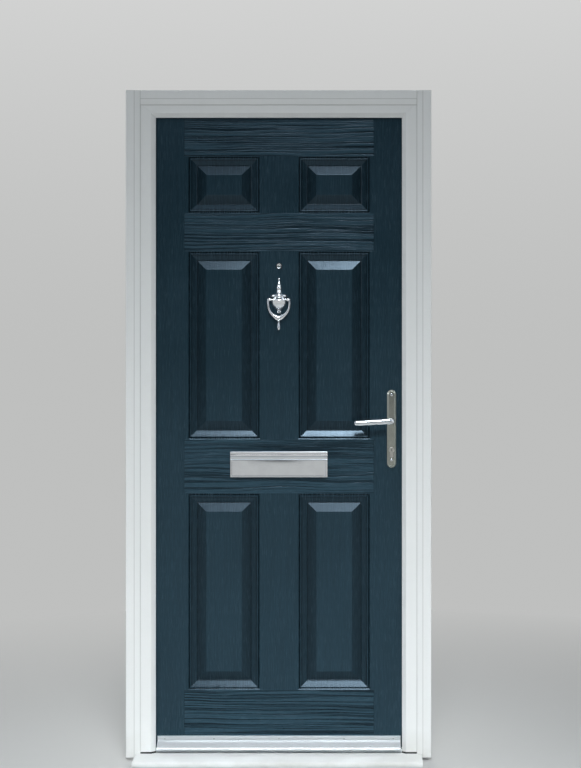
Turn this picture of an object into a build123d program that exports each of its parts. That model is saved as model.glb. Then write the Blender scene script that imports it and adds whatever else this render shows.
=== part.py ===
from build123d import *
import math
import os

os.makedirs("parts", exist_ok=True)

# X runs across the door, Y from outside to inside and Z up. The origin is on the underside of the
# cill, on the door's centre line, in the plane of the frame's outer face.

# Door leaf
leaf_width = 810
leaf_height = 2023
leaf_thickness = 44
skin_thickness = 2
stile_width = 95
top_rail_height = 80
bottom_rail_height = 150

# Frame bars
frame_depth = 70
jamb_width = 63
leaf_setback = 25
lip_depth = 18
lip_overlap = 12
chamfer_width = 13
edge_gap = 5
frame_wall = 2.8
front_chamber_width = 17
steel_wall = 1.5
steel_depth = 40
steel_clearance = 0.5
steel_end_gap = 30
fixing_hole_radius = 4
fixing_count = 4
fixing_pitch = 540
first_fixing_height = 200

# Cill and threshold
cill_length = 912
cill_projection = 80
cill_nose_height = 12
cill_seat = 22
jamb_pad_thickness = 5
cill_cap_thickness = 2
upstand_thickness = 3.8
threshold_height = 10
threshold_setback = 20
threshold_gap = 6
fit_clearance = 0.2

# Cover trims
trim_width = 46
trim_overlap = 16
head_trim_overlap = 25
trim_edge_thickness = 3
trim_thickness = 6
trim_slope_width = 19
trim_foot_height = 11

# Raised panels
muntin_width = 121
panel_width = 231.5
top_panel_base = 1745
top_panel_height = 183
middle_panel_base = 1022
middle_panel_height = 602
bottom_panel_base = 220
bottom_panel_height = 629
groove_width = 8
groove_depth = 4
bead_width = 1.5
bead_drop = 0.6
slope_width = 20.5
moulding_depth = 9.5
quirk_width = 1
bevel_width = 29
field_drop = 1

# Seals
gasket_width = 7
gasket_gap = 0.3
seal_width = 14
seal_running_gap = 0.5

# Hinges
hinge_heights = (250, 1050, 1850)
hinge_axis_standoff = 9
hinge_length = 100
knuckle_radius = 7.5
knuckle_length = 45
knuckle_gap = 0.3
hinge_pin_radius = 4
hinge_pin_clearance = 0.06
flange_thickness = 3.5
frame_flange_reach = 38
door_flange_reach = 50
flange_offset = 9

# Fasteners
screw_radius = 2
screw_head_radius = 4
screw_length = 28
screw_clearance = 0.1
bolt_radius = 2.5
bolt_head_radius = 6
bolt_head_height = 3
bolt_clearance = 0.1
bolt_hole_clearance = 1

# Locking
backset = 45
spindle_height = 1080
cylinder_centres = 92
spindle_half = 4
spindle_clearance = 0.05
hub_radius = 12
faceplate_width = 20
faceplate_thickness = 3
faceplate_base = 300
faceplate_top = 1800
rail_thickness = 3
rail_width = 18
rail_base = 380
rail_top = 1720
rail_throw = 18
rail_gap = 0.5
bolt_plate_half = 5.5
latch_above_spindle = 38
latch_height = spindle_height + latch_above_spindle
latch_half = 13
latch_throw = 12
deadbolt_below_spindle = 45
deadbolt_height = spindle_height - deadbolt_below_spindle
deadbolt_half = 15
deadbolt_throw = 20
bolt_tail = 33
slide_gap = 0.4
glue_line = 0.1
case_width = 16
case_wall = 1.5
case_depth = 73
case_below_cylinder = 53
case_above_latch = 11
case_screw_below = 220
case_screw_above = 170
faceplate_screw_inset = 20
hook_heights = (450, 1650)
hook_screw_distance = 150
hook_pivot_depth = 20
hook_reach = 36
hook_arm_half = 6
hook_nose = 6
hook_nose_length = 7
hook_half_thickness = 4
hook_boss_radius = 9
hook_pivot_radius = 3
hook_case_depth = 37
hook_case_down = 45
hook_case_up = 22
keep_thickness = 2.5
keep_width = 22
keep_pocket_depth = 18
keep_margin = 16
keep_slot_gap = 1.5

# Cylinder
cylinder_radius = 8.5
cylinder_web_half = 5
cylinder_drop = 19.5
cylinder_proud = 1.5
plug_radius = 6.5
plug_clearance = 0.05
plug_gap = 0.2
cam_width = 9.4
cam_slot = 10
cam_radius = 8.2
cam_reach = 15
cam_bridge = 15.9

# Handles
plate_width = 29
plate_above = 100
plate_below = 148
plate_thickness = 12
plate_edge = 5
neck_radius = 10
neck_clearance = 0.05
lever_standoff = 40
lever_thickness = 12
lever_length = 119
lever_root_half = 10
lever_tip_radius = 8.5
lever_droop = 6
handle_bolt_above = 84
handle_bolt_below = 124

# Letterplate
letter_height = 942
letter_length = 310
letter_width = 82
letter_base = 3
letter_border = 4.5
letter_border_depth = 13
letter_hood_height = 26
letter_hood_depth = 14
letter_slot_length = 262
letter_slot_height = 40
letter_slot_drop = 14
sleeve_wall = 2
flap_thickness = 3
flap_gap = 0.5
flap_pin_radius = 1.5
flap_pin_clearance = 0.05
flap_knuckle_radius = 3
letter_bolt_offset = 142

# Knocker
knocker_height = 1468
knocker_axis_standoff = 14
knocker_bar_radius = 3
knocker_eye_radius = 5.5
knocker_eye_clearance = 0.05
knocker_eye_inner = 26
knocker_eye_outer = 33
ring_thickness = 9
strike_radius = 7
strike_drop = 57.5
strike_gap = 0.5
knocker_bolt_above = 25
knocker_bolt_below = 30

# Viewer
viewer_height = 1576
viewer_radius = 7
viewer_bore = 5
viewer_flange_radius = 10.5
viewer_flange = 2.5
viewer_inner_radius = 4.95
viewer_inner_bore = 3.5
viewer_overlap = 18
lens_thickness = 3

# Weather bar
bar_length = 772
bar_base = 33
bar_height = 41
bar_projection = 30
bar_wall = 2.2
bar_flange = 3.5
bar_flange_height = 15
bar_bead_height = 3
bar_screw_drop = 9.5
bar_cap_thickness = 2.5
bar_screw_places = (-365, -208, 0, 208, 365)

# Places worked out from the sizes above
leaf_half = leaf_width / 2
leaf_front = leaf_setback
leaf_back = leaf_front + leaf_thickness
leaf_middle = (leaf_front + leaf_back) / 2
leaf_base = cill_seat + threshold_height + threshold_gap
leaf_top = leaf_base + leaf_height
core_front = leaf_front + skin_thickness
core_back = leaf_back - skin_thickness
rebate_half = leaf_half + edge_gap
lip_half = leaf_half - lip_overlap
lip_top = leaf_top - lip_overlap
frame_half = lip_half + jamb_width
frame_top = lip_top + jamb_width
rebate_width = rebate_half - lip_half
jamb_base = cill_seat + jamb_pad_thickness
trim_inner = frame_half - trim_overlap
trim_outer = trim_inner + trim_width
head_trim_base = frame_top - head_trim_overlap
head_trim_top = head_trim_base + trim_width
moulding_width = groove_width + bead_width + slope_width + quirk_width
relief_width = moulding_width + bevel_width
lock_x = leaf_half - backset
cylinder_height = spindle_height - cylinder_centres
case_base = cylinder_height - case_below_cylinder
case_top = latch_height + latch_half + case_above_latch
hinge_x = -(leaf_half + edge_gap / 2)
hinge_y = frame_depth + hinge_axis_standoff
faceplate_back = leaf_half - faceplate_thickness
rail_front = faceplate_back - rail_gap
rail_back = rail_front - rail_thickness
case_front = rail_back - rail_gap
keep_front = rebate_half - keep_thickness
hook_pivot_x = leaf_half - hook_pivot_depth
outer_plate_face = leaf_front - plate_thickness
inner_plate_face = leaf_back + plate_thickness
lever_back_y = leaf_front - lever_standoff
lever_front_y = lever_back_y - lever_thickness
slot_top = letter_height + letter_slot_height - letter_slot_drop - letter_slot_height / 2
slot_base = slot_top - letter_slot_height
slot_middle = (slot_top + slot_base) / 2
letter_top = letter_height + letter_width / 2
letter_bottom = letter_height - letter_width / 2
hood_base = letter_top - letter_hood_height
flap_axis_height = hood_base - flap_gap - flap_knuckle_radius
flap_axis_offset = 9
knocker_y = leaf_front - knocker_axis_standoff
panel_middle = (muntin_width + panel_width) / 2
panels = (
    (top_panel_base, top_panel_height),
    (middle_panel_base, middle_panel_height),
    (bottom_panel_base, bottom_panel_height),
)
keep_screw_offset = 6


def block(x, y, z, mode=Mode.ADD):
    """Adds or cuts a box between two values on each axis."""
    with Locations(((x[0] + x[1]) / 2, (y[0] + y[1]) / 2, (z[0] + z[1]) / 2)):
        Box(x[1] - x[0], y[1] - y[0], z[1] - z[0], mode=mode)


def rod_x(radius, x, y, z, mode=Mode.ADD):
    """Adds or cuts a round bar along X between two values of x."""
    with Locations(((x[0] + x[1]) / 2, y, z)):
        Cylinder(radius, x[1] - x[0], rotation=(0, 90, 0), mode=mode)


def rod_y(radius, x, y, z, mode=Mode.ADD):
    """Adds or cuts a round bar along Y between two values of y."""
    with Locations((x, (y[0] + y[1]) / 2, z)):
        Cylinder(radius, y[1] - y[0], rotation=(90, 0, 0), mode=mode)


def rod_z(radius, x, y, z, mode=Mode.ADD):
    """Adds or cuts a round bar along Z between two values of z."""
    with Locations((x, y, (z[0] + z[1]) / 2)):
        Cylinder(radius, z[1] - z[0], mode=mode)


def upright(y):
    """The plane at depth y whose own axes are X and Z, and whose normal points out of doors."""
    return Plane(origin=(0, y, 0), x_dir=(1, 0, 0), z_dir=(0, -1, 0))


def outline(points, mode=Mode.ADD):
    """Draws a closed straight-sided face in the current sketch."""
    Polygon(*points, mode=mode)


def rectangle_points(place, u, v):
    """Corners of a rectangle between two values of u and of v, moved by place."""
    return [place(u[0], v[0]), place(u[1], v[0]), place(u[1], v[1]), place(u[0], v[1])]


def finish(piece, name):
    """Labels a finished piece and writes its file."""
    piece.part.label = name
    export_step(piece.part, f"parts/{name}.step")


# The section of a frame bar, with u outwards from the door's centre line and v inwards from the face
web_u = rebate_half + frame_wall + front_chamber_width
bar_points = [
    (lip_half + chamfer_width, 0),
    (frame_half, 0),
    (frame_half, frame_depth),
    (rebate_half, frame_depth),
    (rebate_half, lip_depth),
    (lip_half, lip_depth),
    (lip_half, chamfer_width),
]
lock_chamber = ((rebate_half + frame_wall, web_u), (lip_depth, frame_depth - frame_wall))
lip_chamber = ((lip_half + chamfer_width + frame_wall, web_u), (frame_wall, lip_depth - frame_wall))
steel_chamber = ((web_u + frame_wall, frame_half - frame_wall), (frame_wall, frame_depth - frame_wall))


def bar_section(place):
    """Draws the frame bar's section, whose chambers are open from end to end."""
    outline([place(u, v) for u, v in bar_points])
    for u, v in (lock_chamber, lip_chamber, steel_chamber):
        outline(rectangle_points(place, u, v), mode=Mode.SUBTRACT)


def steel_section(place):
    """Draws the square steel tube that fills the outer chamber."""
    u = (steel_chamber[0][0] + steel_clearance, steel_chamber[0][1] - steel_clearance)
    v = ((frame_depth - steel_depth) / 2, (frame_depth + steel_depth) / 2)
    outline(rectangle_points(place, u, v))
    inner_u = (u[0] + steel_wall, u[1] - steel_wall)
    inner_v = (v[0] + steel_wall, v[1] - steel_wall)
    outline(rectangle_points(place, inner_u, inner_v), mode=Mode.SUBTRACT)


def jamb_place(side):
    """Maps the bar's section to a plan of the left (-1) or right (1) jamb."""
    return lambda u, v: (side * u, v)


def head_place(u, v):
    """Maps the bar's section to a side view of the head."""
    return (v, lip_top + u - lip_half)


fixing_heights = [first_fixing_height + i * fixing_pitch for i in range(fixing_count)]


def frame_hinge_holes():
    """Cuts the hinges' screw holes in the hinge jamb and in the steel inside it."""
    for z in hinge_screw_heights:
        y = (frame_depth - screw_length, frame_depth + 1)
        hole = screw_radius + screw_clearance
        rod_y(hole, frame_screw_x, y, z, mode=Mode.SUBTRACT)


def fixing_holes(side):
    """Cuts the holes for the screws that hold a jamb to the wall."""
    for z in fixing_heights:
        x = sorted((side * (rebate_half - 1), side * (frame_half + 1)))
        rod_x(fixing_hole_radius, x, leaf_middle, z, mode=Mode.SUBTRACT)


def jamb(side):
    """A jamb from its pad on the cill to its mitre with the head."""
    with BuildSketch(Plane.XY.offset(jamb_base)) as section:
        bar_section(jamb_place(side))
    extrude(section.sketch, amount=frame_top - jamb_base)
    with BuildSketch(upright(frame_depth)) as mitre:
        outline([
            (side * lip_half, jamb_base),
            (side * frame_half, jamb_base),
            (side * frame_half, frame_top),
            (side * lip_half, lip_top),
        ])
    extrude(mitre.sketch, amount=frame_depth, mode=Mode.INTERSECT)
    fixing_holes(side)


# What passes through the leaf
def euro_profile(clearance):
    """Draws the keyhole shape of the lock cylinder, on an upright plane."""
    with Locations((lock_x, cylinder_height)):
        Circle(cylinder_radius + clearance)
    with Locations((lock_x, cylinder_height - cylinder_drop / 2)):
        Rectangle(2 * (cylinder_web_half + clearance), cylinder_drop)
    with Locations((lock_x, cylinder_height - cylinder_drop)):
        Circle(cylinder_web_half + clearance)


handle_bolts = [
    (lock_x, spindle_height + handle_bolt_above),
    (lock_x, spindle_height - handle_bolt_below),
]
knocker_bolts = [
    (0, knocker_height + knocker_bolt_above),
    (0, knocker_height - knocker_bolt_below),
    (0, knocker_height - strike_drop),
]
letter_bolts = [(-letter_bolt_offset, slot_middle), (letter_bolt_offset, slot_middle)]
hinge_screw_heights = [z + step for z in hinge_heights for step in (-36, 36)]
frame_screw_x = hinge_x - flange_offset - frame_flange_reach / 2
door_screw_x = hinge_x + flange_offset + door_flange_reach / 2
bar_screw_height = bar_base + bar_height - bar_screw_drop


def door_hinge_holes(y):
    """Cuts the hinges' screw holes in the leaf, between two depths."""
    for z in hinge_screw_heights:
        hole = screw_radius + screw_clearance
        rod_y(hole, door_screw_x, y, z, mode=Mode.SUBTRACT)


def bar_screw_holes(y):
    """Cuts the weather bar's screw holes, between two depths."""
    for x in bar_screw_places:
        rod_y(screw_radius + screw_clearance, x, y, bar_screw_height, mode=Mode.SUBTRACT)


def leaf_holes():
    """Cuts every hole that runs through the leaf from face to face."""
    through = (leaf_front - 1, leaf_back + 1)
    rod_y(neck_radius, lock_x, through, spindle_height, mode=Mode.SUBTRACT)
    with BuildSketch(upright(leaf_back + 1)) as keyhole:
        euro_profile(bolt_hole_clearance)
    extrude(keyhole.sketch, amount=leaf_thickness + 2, mode=Mode.SUBTRACT)
    for x, z in handle_bolts + knocker_bolts + letter_bolts:
        rod_y(bolt_radius + bolt_hole_clearance, x, through, z, mode=Mode.SUBTRACT)
    rod_y(viewer_radius + bolt_clearance, 0, through, viewer_height, mode=Mode.SUBTRACT)
    half = letter_slot_length / 2 + sleeve_wall + fit_clearance
    edge = sleeve_wall + fit_clearance
    block((-half, half), through, (slot_base - edge, slot_top + edge), mode=Mode.SUBTRACT)


# Air in front of the six raised panels, bounded by the moulding, the bevel and the flat field
moulding_points = [(0, 0), (groove_width / 2, -groove_depth), (groove_width, -bead_drop)]
bead_end = groove_width + bead_width
quirk_start = bead_end + slope_width
with BuildPart() as relief:
    for side in (-1, 1):
        for base, height in panels:
            left = side * panel_middle - panel_width / 2
            right = left + panel_width
            middle = side * panel_middle
            with BuildLine(upright(leaf_front)) as edge:
                Polyline(
                    (middle, base), (right, base), (right, base + height),
                    (left, base + height), (left, base), (middle, base),
                )
            section_plane = Plane(origin=(middle, leaf_front, base), x_dir=(0, 0, 1), z_dir=(1, 0, 0))
            with BuildSketch(section_plane):
                with BuildLine():
                    Polyline(
                        *moulding_points,
                        (bead_end, -bead_drop),
                        (quirk_start, -moulding_depth),
                        (moulding_width, -moulding_depth),
                        (relief_width, -field_drop),
                        (relief_width, 0),
                        (0, 0),
                    )
                make_face()
            sweep(path=edge.line, transition=Transition.RIGHT)
            field = (left + relief_width, right - relief_width)
            rise = (base + relief_width, base + height - relief_width)
            block(field, (leaf_front, leaf_front + field_drop), rise)


def skin():
    """The outer skin of the leaf, one sheet moulded with its six panels."""
    block((-leaf_half, leaf_half), (leaf_front, core_front), (leaf_base, leaf_top))
    with Locations((0, skin_thickness, 0)):
        add(relief.part)
    add(relief.part, mode=Mode.SUBTRACT)


with BuildPart() as outer_skin:
    skin()
    leaf_holes()
    bar_screw_holes((leaf_front, core_front))

with BuildPart() as moulded_sheet:
    skin()

with BuildPart() as inner_skin:
    mirror(moulded_sheet.part, about=upright(leaf_middle))
    leaf_holes()
    door_hinge_holes((core_back, leaf_back))


# The parts of the leaf between its skins


def hook_slot(z, x, half, mode=Mode.SUBTRACT):
    """Cuts the slot that a hook swings through, at a hook whose pivot is at height z."""
    reach = hook_reach + keep_slot_gap
    block(x, (leaf_middle - half, leaf_middle + half), (z - reach, z + hook_reach / 3 + 1), mode=mode)


with BuildPart() as hinge_stile:
    block((-leaf_half, -leaf_half + stile_width), (core_front, core_back), (leaf_base, leaf_top))
    door_hinge_holes((core_back - screw_length, core_back))
    bar_screw_holes((core_front, core_front + screw_length))

cylinder_screw_height = cylinder_height - cylinder_drop
faceplate_screw_heights = (
    faceplate_base + faceplate_screw_inset,
    hook_heights[0] + hook_screw_distance,
    spindle_height - case_screw_below,
    spindle_height + case_screw_above,
    hook_heights[1] - hook_screw_distance,
    faceplate_top - faceplate_screw_inset,
)
faceplate_y = (leaf_middle - faceplate_width / 2, leaf_middle + faceplate_width / 2)
case_y = (leaf_middle - case_width / 2, leaf_middle + case_width / 2)
cavity_y = (case_y[0] + case_wall, case_y[1] - case_wall)

# Three layers of timber, whose middle one stops short of the lock cases
with BuildPart() as lock_stile:
    layer_edges = (core_front, *faceplate_y, core_back)
    for low, high in zip(layer_edges, layer_edges[1:]):
        y = (max(low + glue_line / 2, core_front), min(high - glue_line / 2, core_back))
        block((leaf_half - stile_width, leaf_half), y, (leaf_base, leaf_top))
    block((faceplate_back, leaf_half), faceplate_y, (faceplate_base, faceplate_top), mode=Mode.SUBTRACT)
    rail_room = (rail_base - 10, rail_top + rail_throw + 10)
    block((case_front, faceplate_back), faceplate_y, rail_room, mode=Mode.SUBTRACT)
    case_room = [(case_base, case_top)]
    case_room += [(z - hook_case_down, z + hook_case_up) for z in hook_heights]
    for room in case_room:
        block((leaf_half - stile_width, case_front), faceplate_y, room, mode=Mode.SUBTRACT)
    for z in faceplate_screw_heights:
        x = (leaf_half - screw_length, leaf_half)
        rod_x(screw_radius + screw_clearance, x, leaf_middle, z, mode=Mode.SUBTRACT)
    bar_screw_holes((core_front, core_front + screw_length))
    leaf_holes()

rail_x = (-leaf_half + stile_width, leaf_half - stile_width)
with BuildPart() as top_rail:
    block(rail_x, (core_front, core_back), (leaf_top - top_rail_height, leaf_top))

with BuildPart() as bottom_rail:
    block(rail_x, (core_front, core_back), (leaf_base, leaf_base + bottom_rail_height))
    bar_screw_holes((core_front, core_front + screw_length))

with BuildPart() as foam_core:
    core_z = (leaf_base + bottom_rail_height, leaf_top - top_rail_height)
    block(rail_x, (core_front, core_back), core_z)
    with Locations((0, skin_thickness, 0)):
        add(relief.part, mode=Mode.SUBTRACT)
    mirror_plane = upright(leaf_middle)
    with Locations((0, -skin_thickness, 0)):
        add(relief.part.mirror(mirror_plane), mode=Mode.SUBTRACT)
    leaf_holes()

with BuildPart() as bottom_seal:
    seal_y = (leaf_middle - seal_width / 2, leaf_middle + seal_width / 2)
    seal_x = (-leaf_half + 5, leaf_half - 5)
    block(seal_x, seal_y, (leaf_base - 1.5, leaf_base))
    for y in (seal_y[0], leaf_middle - 1, seal_y[1] - 2):
        block(seal_x, (y, y + 2), (leaf_base - threshold_gap + seal_running_gap, leaf_base - 1.5))

# Frame bars, mitred at the top corners
with BuildPart() as hinge_jamb:
    jamb(-1)
    frame_hinge_holes()

pocket_x = (rebate_half - 1, rebate_half + keep_pocket_depth)
keep_slot_half = bolt_plate_half + keep_slot_gap
bolt_slots = ((latch_height, latch_half), (deadbolt_height, deadbolt_half))
keep_screw_heights = [z + step for z in hook_heights for step in (-hook_reach - 12, 26)]
centre_keep_z = (deadbolt_height - deadbolt_half - keep_margin, latch_height + latch_half + keep_margin)
keep_screw_heights += [centre_keep_z[0] + keep_screw_offset, centre_keep_z[1] - keep_screw_offset]

with BuildPart() as lock_jamb:
    jamb(1)
    for z in hook_heights:
        hook_slot(z, pocket_x, keep_slot_half)
    for z, half in bolt_slots:
        slot_z = (z - half - keep_slot_gap, z + half + keep_slot_gap)
        slot_y = (leaf_middle - keep_slot_half, leaf_middle + keep_slot_half)
        block(pocket_x, slot_y, slot_z, mode=Mode.SUBTRACT)
    for z in keep_screw_heights:
        rod_x(screw_radius + screw_clearance, (rebate_half - 1, web_u + 1), leaf_middle, z, mode=Mode.SUBTRACT)

with BuildPart() as head_bar:
    with BuildSketch(Plane.YZ.offset(-frame_half)):
        bar_section(head_place)
    extrude(amount=2 * frame_half)
    with BuildSketch(upright(frame_depth)):
        outline([
            (-lip_half, lip_top), (lip_half, lip_top), (frame_half, frame_top), (-frame_half, frame_top),
        ])
    extrude(amount=frame_depth, mode=Mode.INTERSECT)

with BuildPart() as frame_reinforcement:
    for side in (-1, 1):
        with BuildSketch(Plane.XY.offset(cill_seat + steel_end_gap)):
            steel_section(jamb_place(side))
        extrude(amount=lip_top - cill_seat - 2 * steel_end_gap)
        fixing_holes(side)
    frame_hinge_holes()
    with BuildSketch(Plane.YZ.offset(-lip_half + steel_end_gap)):
        steel_section(head_place)
    extrude(amount=2 * (lip_half - steel_end_gap))

with BuildPart() as frame_gasket:
    gasket_y = (lip_depth, leaf_front - gasket_gap)
    for side in (-1, 1):
        x = sorted((side * (lip_half + 1), side * (lip_half + 1 + gasket_width)))
        block(x, gasket_y, (cill_seat + threshold_height, lip_top))
        with BuildSketch(Plane.XY.offset(cill_seat)):
            outline([(side * u, v) for u, v in bar_points])
        extrude(amount=jamb_pad_thickness)
    x = (-lip_half - 1 - gasket_width, lip_half + 1 + gasket_width)
    block(x, gasket_y, (lip_top, lip_top + gasket_width))

# Cill with its end caps, and the threshold on it
upstand_y = (frame_depth + fit_clearance, frame_depth + fit_clearance + upstand_thickness)
cill_points = [
    (-cill_projection, 0),
    (upstand_y[1], 0),
    (upstand_y[1], cill_seat + threshold_height - 0.5),
    (upstand_y[0], cill_seat + threshold_height - 0.5),
    (upstand_y[0], cill_seat),
    (0, cill_seat),
    (-cill_projection + 3, cill_nose_height + 1),
    (-cill_projection, cill_nose_height - 1),
]
cill_chambers = [((-40, -4), 8), ((0, 32), cill_seat - 6), ((36, 66), cill_seat - 6)]

with BuildPart() as cill:
    half = cill_length / 2 - cill_cap_thickness
    with BuildSketch(Plane.YZ.offset(-half)):
        outline(cill_points)
        for y, height in cill_chambers:
            outline([(y[0], 3), (y[1], 3), (y[1], 3 + height), (y[0], 3 + height)], mode=Mode.SUBTRACT)
    extrude(amount=2 * half)

with BuildPart() as cill_end_caps:
    for x in (-cill_length / 2, cill_length / 2 - cill_cap_thickness):
        with BuildSketch(Plane.YZ.offset(x)):
            outline(cill_points)
        extrude(amount=cill_cap_thickness)

with BuildPart() as threshold:
    half = rebate_half - fit_clearance
    top = cill_seat + threshold_height
    with BuildSketch(Plane.YZ.offset(-half)):
        outline([
            (threshold_setback, cill_seat), (frame_depth, cill_seat), (frame_depth, top - 2),
            (frame_depth - 4, top), (threshold_setback + 4, top), (threshold_setback, top - 2),
        ])
        for y in ((threshold_setback + 4, 43), (46, frame_depth - 4)):
            z = (cill_seat + 2, top - 2.5)
            outline([(y[0], z[0]), (y[1], z[0]), (y[1], z[1]), (y[0], z[1])], mode=Mode.SUBTRACT)
    extrude(amount=2 * half)

# Cover trims: a sloping inner edge, then a flat face
trim_points = [
    (0, 0),
    (0, -trim_edge_thickness),
    (trim_slope_width, -trim_thickness),
    (trim_width - 2, -trim_thickness),
    (trim_width, -trim_thickness + 2),
    (trim_width, 0),
]


def side_trim(side):
    """A side trim, notched to stand on the cill and pass its end."""
    with BuildSketch(Plane.XY.offset(trim_foot_height)) as section:
        outline([(side * (trim_inner + u), v) for u, v in trim_points])
    extrude(section.sketch, amount=head_trim_top - trim_foot_height)
    notch = sorted((side * (trim_inner - 1), side * (cill_length / 2 + fit_clearance)))
    block(notch, (-trim_thickness - 1, 1), (trim_foot_height - 1, cill_seat), mode=Mode.SUBTRACT)


with BuildPart() as left_trim:
    side_trim(-1)

with BuildPart() as right_trim:
    side_trim(1)

with BuildPart() as head_trim:
    with BuildSketch(Plane.YZ.offset(-trim_inner)):
        outline([(v, head_trim_base + u) for u, v in trim_points])
    extrude(amount=2 * trim_inner)


# Hinges: a pinned knuckle on the inside face, its lower half on the frame and its upper half on the leaf
def hinge_half(z, side, surface_y):
    """One flange with its half of the knuckle: side -1 is the frame's lower half, 1 the leaf's upper."""
    near = hinge_x + side * flange_offset
    far = near + side * (frame_flange_reach if side < 0 else door_flange_reach)
    half = hinge_length / 2
    block(sorted((near, far)), (surface_y, surface_y + flange_thickness), (z - half, z + half))
    knuckle = sorted((z + side * knuckle_gap, z + side * knuckle_length))
    rod_z(knuckle_radius, hinge_x, hinge_y, knuckle)
    web_y = (surface_y + flange_thickness / 2, hinge_y)
    block(sorted((hinge_x, near + side * 2)), web_y, knuckle)
    clearance = 0 if side < 0 else hinge_pin_clearance
    rod_z(hinge_pin_radius + clearance, hinge_x, hinge_y, (z - half, z + half), mode=Mode.SUBTRACT)
    for step in (-36, 36):
        x = (near + far) / 2
        y = (surface_y, surface_y + flange_thickness)
        rod_y(screw_head_radius, x, (y[1] - 1.8, y[1] + 1), z + step, mode=Mode.SUBTRACT)
        rod_y(screw_radius + screw_clearance, x, y, z + step, mode=Mode.SUBTRACT)


with BuildPart() as hinge_frame_leaves:
    for z in hinge_heights:
        hinge_half(z, -1, frame_depth)

with BuildPart() as hinge_door_leaves:
    for z in hinge_heights:
        hinge_half(z, 1, leaf_back)

with BuildPart() as hinge_pins:
    for z in hinge_heights:
        rod_z(hinge_pin_radius, hinge_x, hinge_y, (z - knuckle_length, z + knuckle_length - 2))


def flange_screw(x, surface_y, z):
    """A countersunk screw from the inside, seated in a hinge flange."""
    head = (surface_y + flange_thickness - 1.8, surface_y + flange_thickness)
    rod_y(screw_head_radius - screw_clearance, x, head, z)
    rod_y(screw_radius, x, (surface_y - screw_length + 3, head[0]), z)


def edge_screw(head_x, z, length):
    """A screw along X whose head is flush with a plate on the lock side."""
    toward = 1 if length > 0 else -1
    rod_x(screw_head_radius - screw_clearance, sorted((head_x, head_x + toward * 1.5)), leaf_middle, z)
    rod_x(screw_radius, sorted((head_x + toward * 1.5, head_x + length)), leaf_middle, z)


with BuildPart() as frame_screws:
    for z in hinge_screw_heights:
        flange_screw(frame_screw_x, frame_depth, z)
    for z in keep_screw_heights:
        edge_screw(keep_front, z, web_u - keep_front)

with BuildPart() as door_screws:
    for z in hinge_screw_heights:
        flange_screw(door_screw_x, leaf_back, z)
    for z in faceplate_screw_heights:
        edge_screw(leaf_half, z, 1 - screw_length)

# Multipoint lock: faceplate, drive rail, centre case with latch and deadbolt, and two hooks
with BuildPart() as lock_faceplate:
    block((faceplate_back, leaf_half), faceplate_y, (faceplate_base, faceplate_top))
    for z, half in bolt_slots:
        slot_half = bolt_plate_half + slide_gap
        slot_y = (leaf_middle - slot_half, leaf_middle + slot_half)
        slot_z = (z - half - slide_gap, z + half + slide_gap)
        block((faceplate_back, leaf_half), slot_y, slot_z, mode=Mode.SUBTRACT)
    for z in hook_heights:
        hook_slot(z, (faceplate_back, leaf_half), hook_half_thickness + slide_gap)
    for z in faceplate_screw_heights:
        rod_x(screw_head_radius, (leaf_half - 1.5, leaf_half), leaf_middle, z, mode=Mode.SUBTRACT)
        rod_x(screw_radius + screw_clearance, (faceplate_back, leaf_half), leaf_middle, z, mode=Mode.SUBTRACT)
    x = (faceplate_back, leaf_half)
    rod_x(bolt_radius + bolt_clearance, x, leaf_middle, cylinder_screw_height, mode=Mode.SUBTRACT)


def rail_slot(low, high, half):
    """Cuts a slot in the drive rail that stays clear of a fixed piece over the rail's whole throw."""
    y = (leaf_middle - half, leaf_middle + half)
    block((rail_back, rail_front), y, (low - rail_throw - 1, high + 1), mode=Mode.SUBTRACT)


with BuildPart() as drive_rail:
    y = (leaf_middle - rail_width / 2, leaf_middle + rail_width / 2)
    block((rail_back, rail_front), y, (rail_base, rail_top))
    for z, half in bolt_slots:
        rail_slot(z - half, z + half, bolt_plate_half + rail_gap)
    for z in hook_heights:
        rail_slot(z - hook_reach, z + hook_boss_radius, hook_half_thickness + rail_gap)
    for z in faceplate_screw_heights[1:-1]:
        rail_slot(z - screw_radius, z + screw_radius, screw_radius + rail_gap)
    rail_slot(cylinder_screw_height - bolt_radius, cylinder_screw_height + bolt_radius, bolt_radius + rail_gap)

with BuildPart() as lock_case:
    x = (case_front - case_depth, case_front)
    z = (case_base, case_top)
    block(x, case_y, z)
    inner_z = (z[0] + case_wall, z[1] - case_wall)
    block((x[0] + case_wall, x[1]), cavity_y, inner_z, mode=Mode.SUBTRACT)
    rod_y(spindle_half * 1.6, lock_x, case_y, spindle_height, mode=Mode.SUBTRACT)
    with BuildSketch(upright(case_y[1])):
        euro_profile(fit_clearance)
    extrude(amount=case_width, mode=Mode.SUBTRACT)
    for bolt_x, bolt_z in handle_bolts:
        rod_y(bolt_radius + bolt_hole_clearance, bolt_x, case_y, bolt_z, mode=Mode.SUBTRACT)

with BuildPart() as hook_cases:
    for height in hook_heights:
        x = (case_front - hook_case_depth, case_front)
        z = (height - hook_case_down, height + hook_case_up)
        block(x, case_y, z)
        inner_z = (z[0] + case_wall, z[1] - case_wall)
        block((x[0] + case_wall, x[1]), cavity_y, inner_z, mode=Mode.SUBTRACT)
        rod_y(hook_pivot_radius + plug_clearance, hook_pivot_x, case_y, height, mode=Mode.SUBTRACT)


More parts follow.
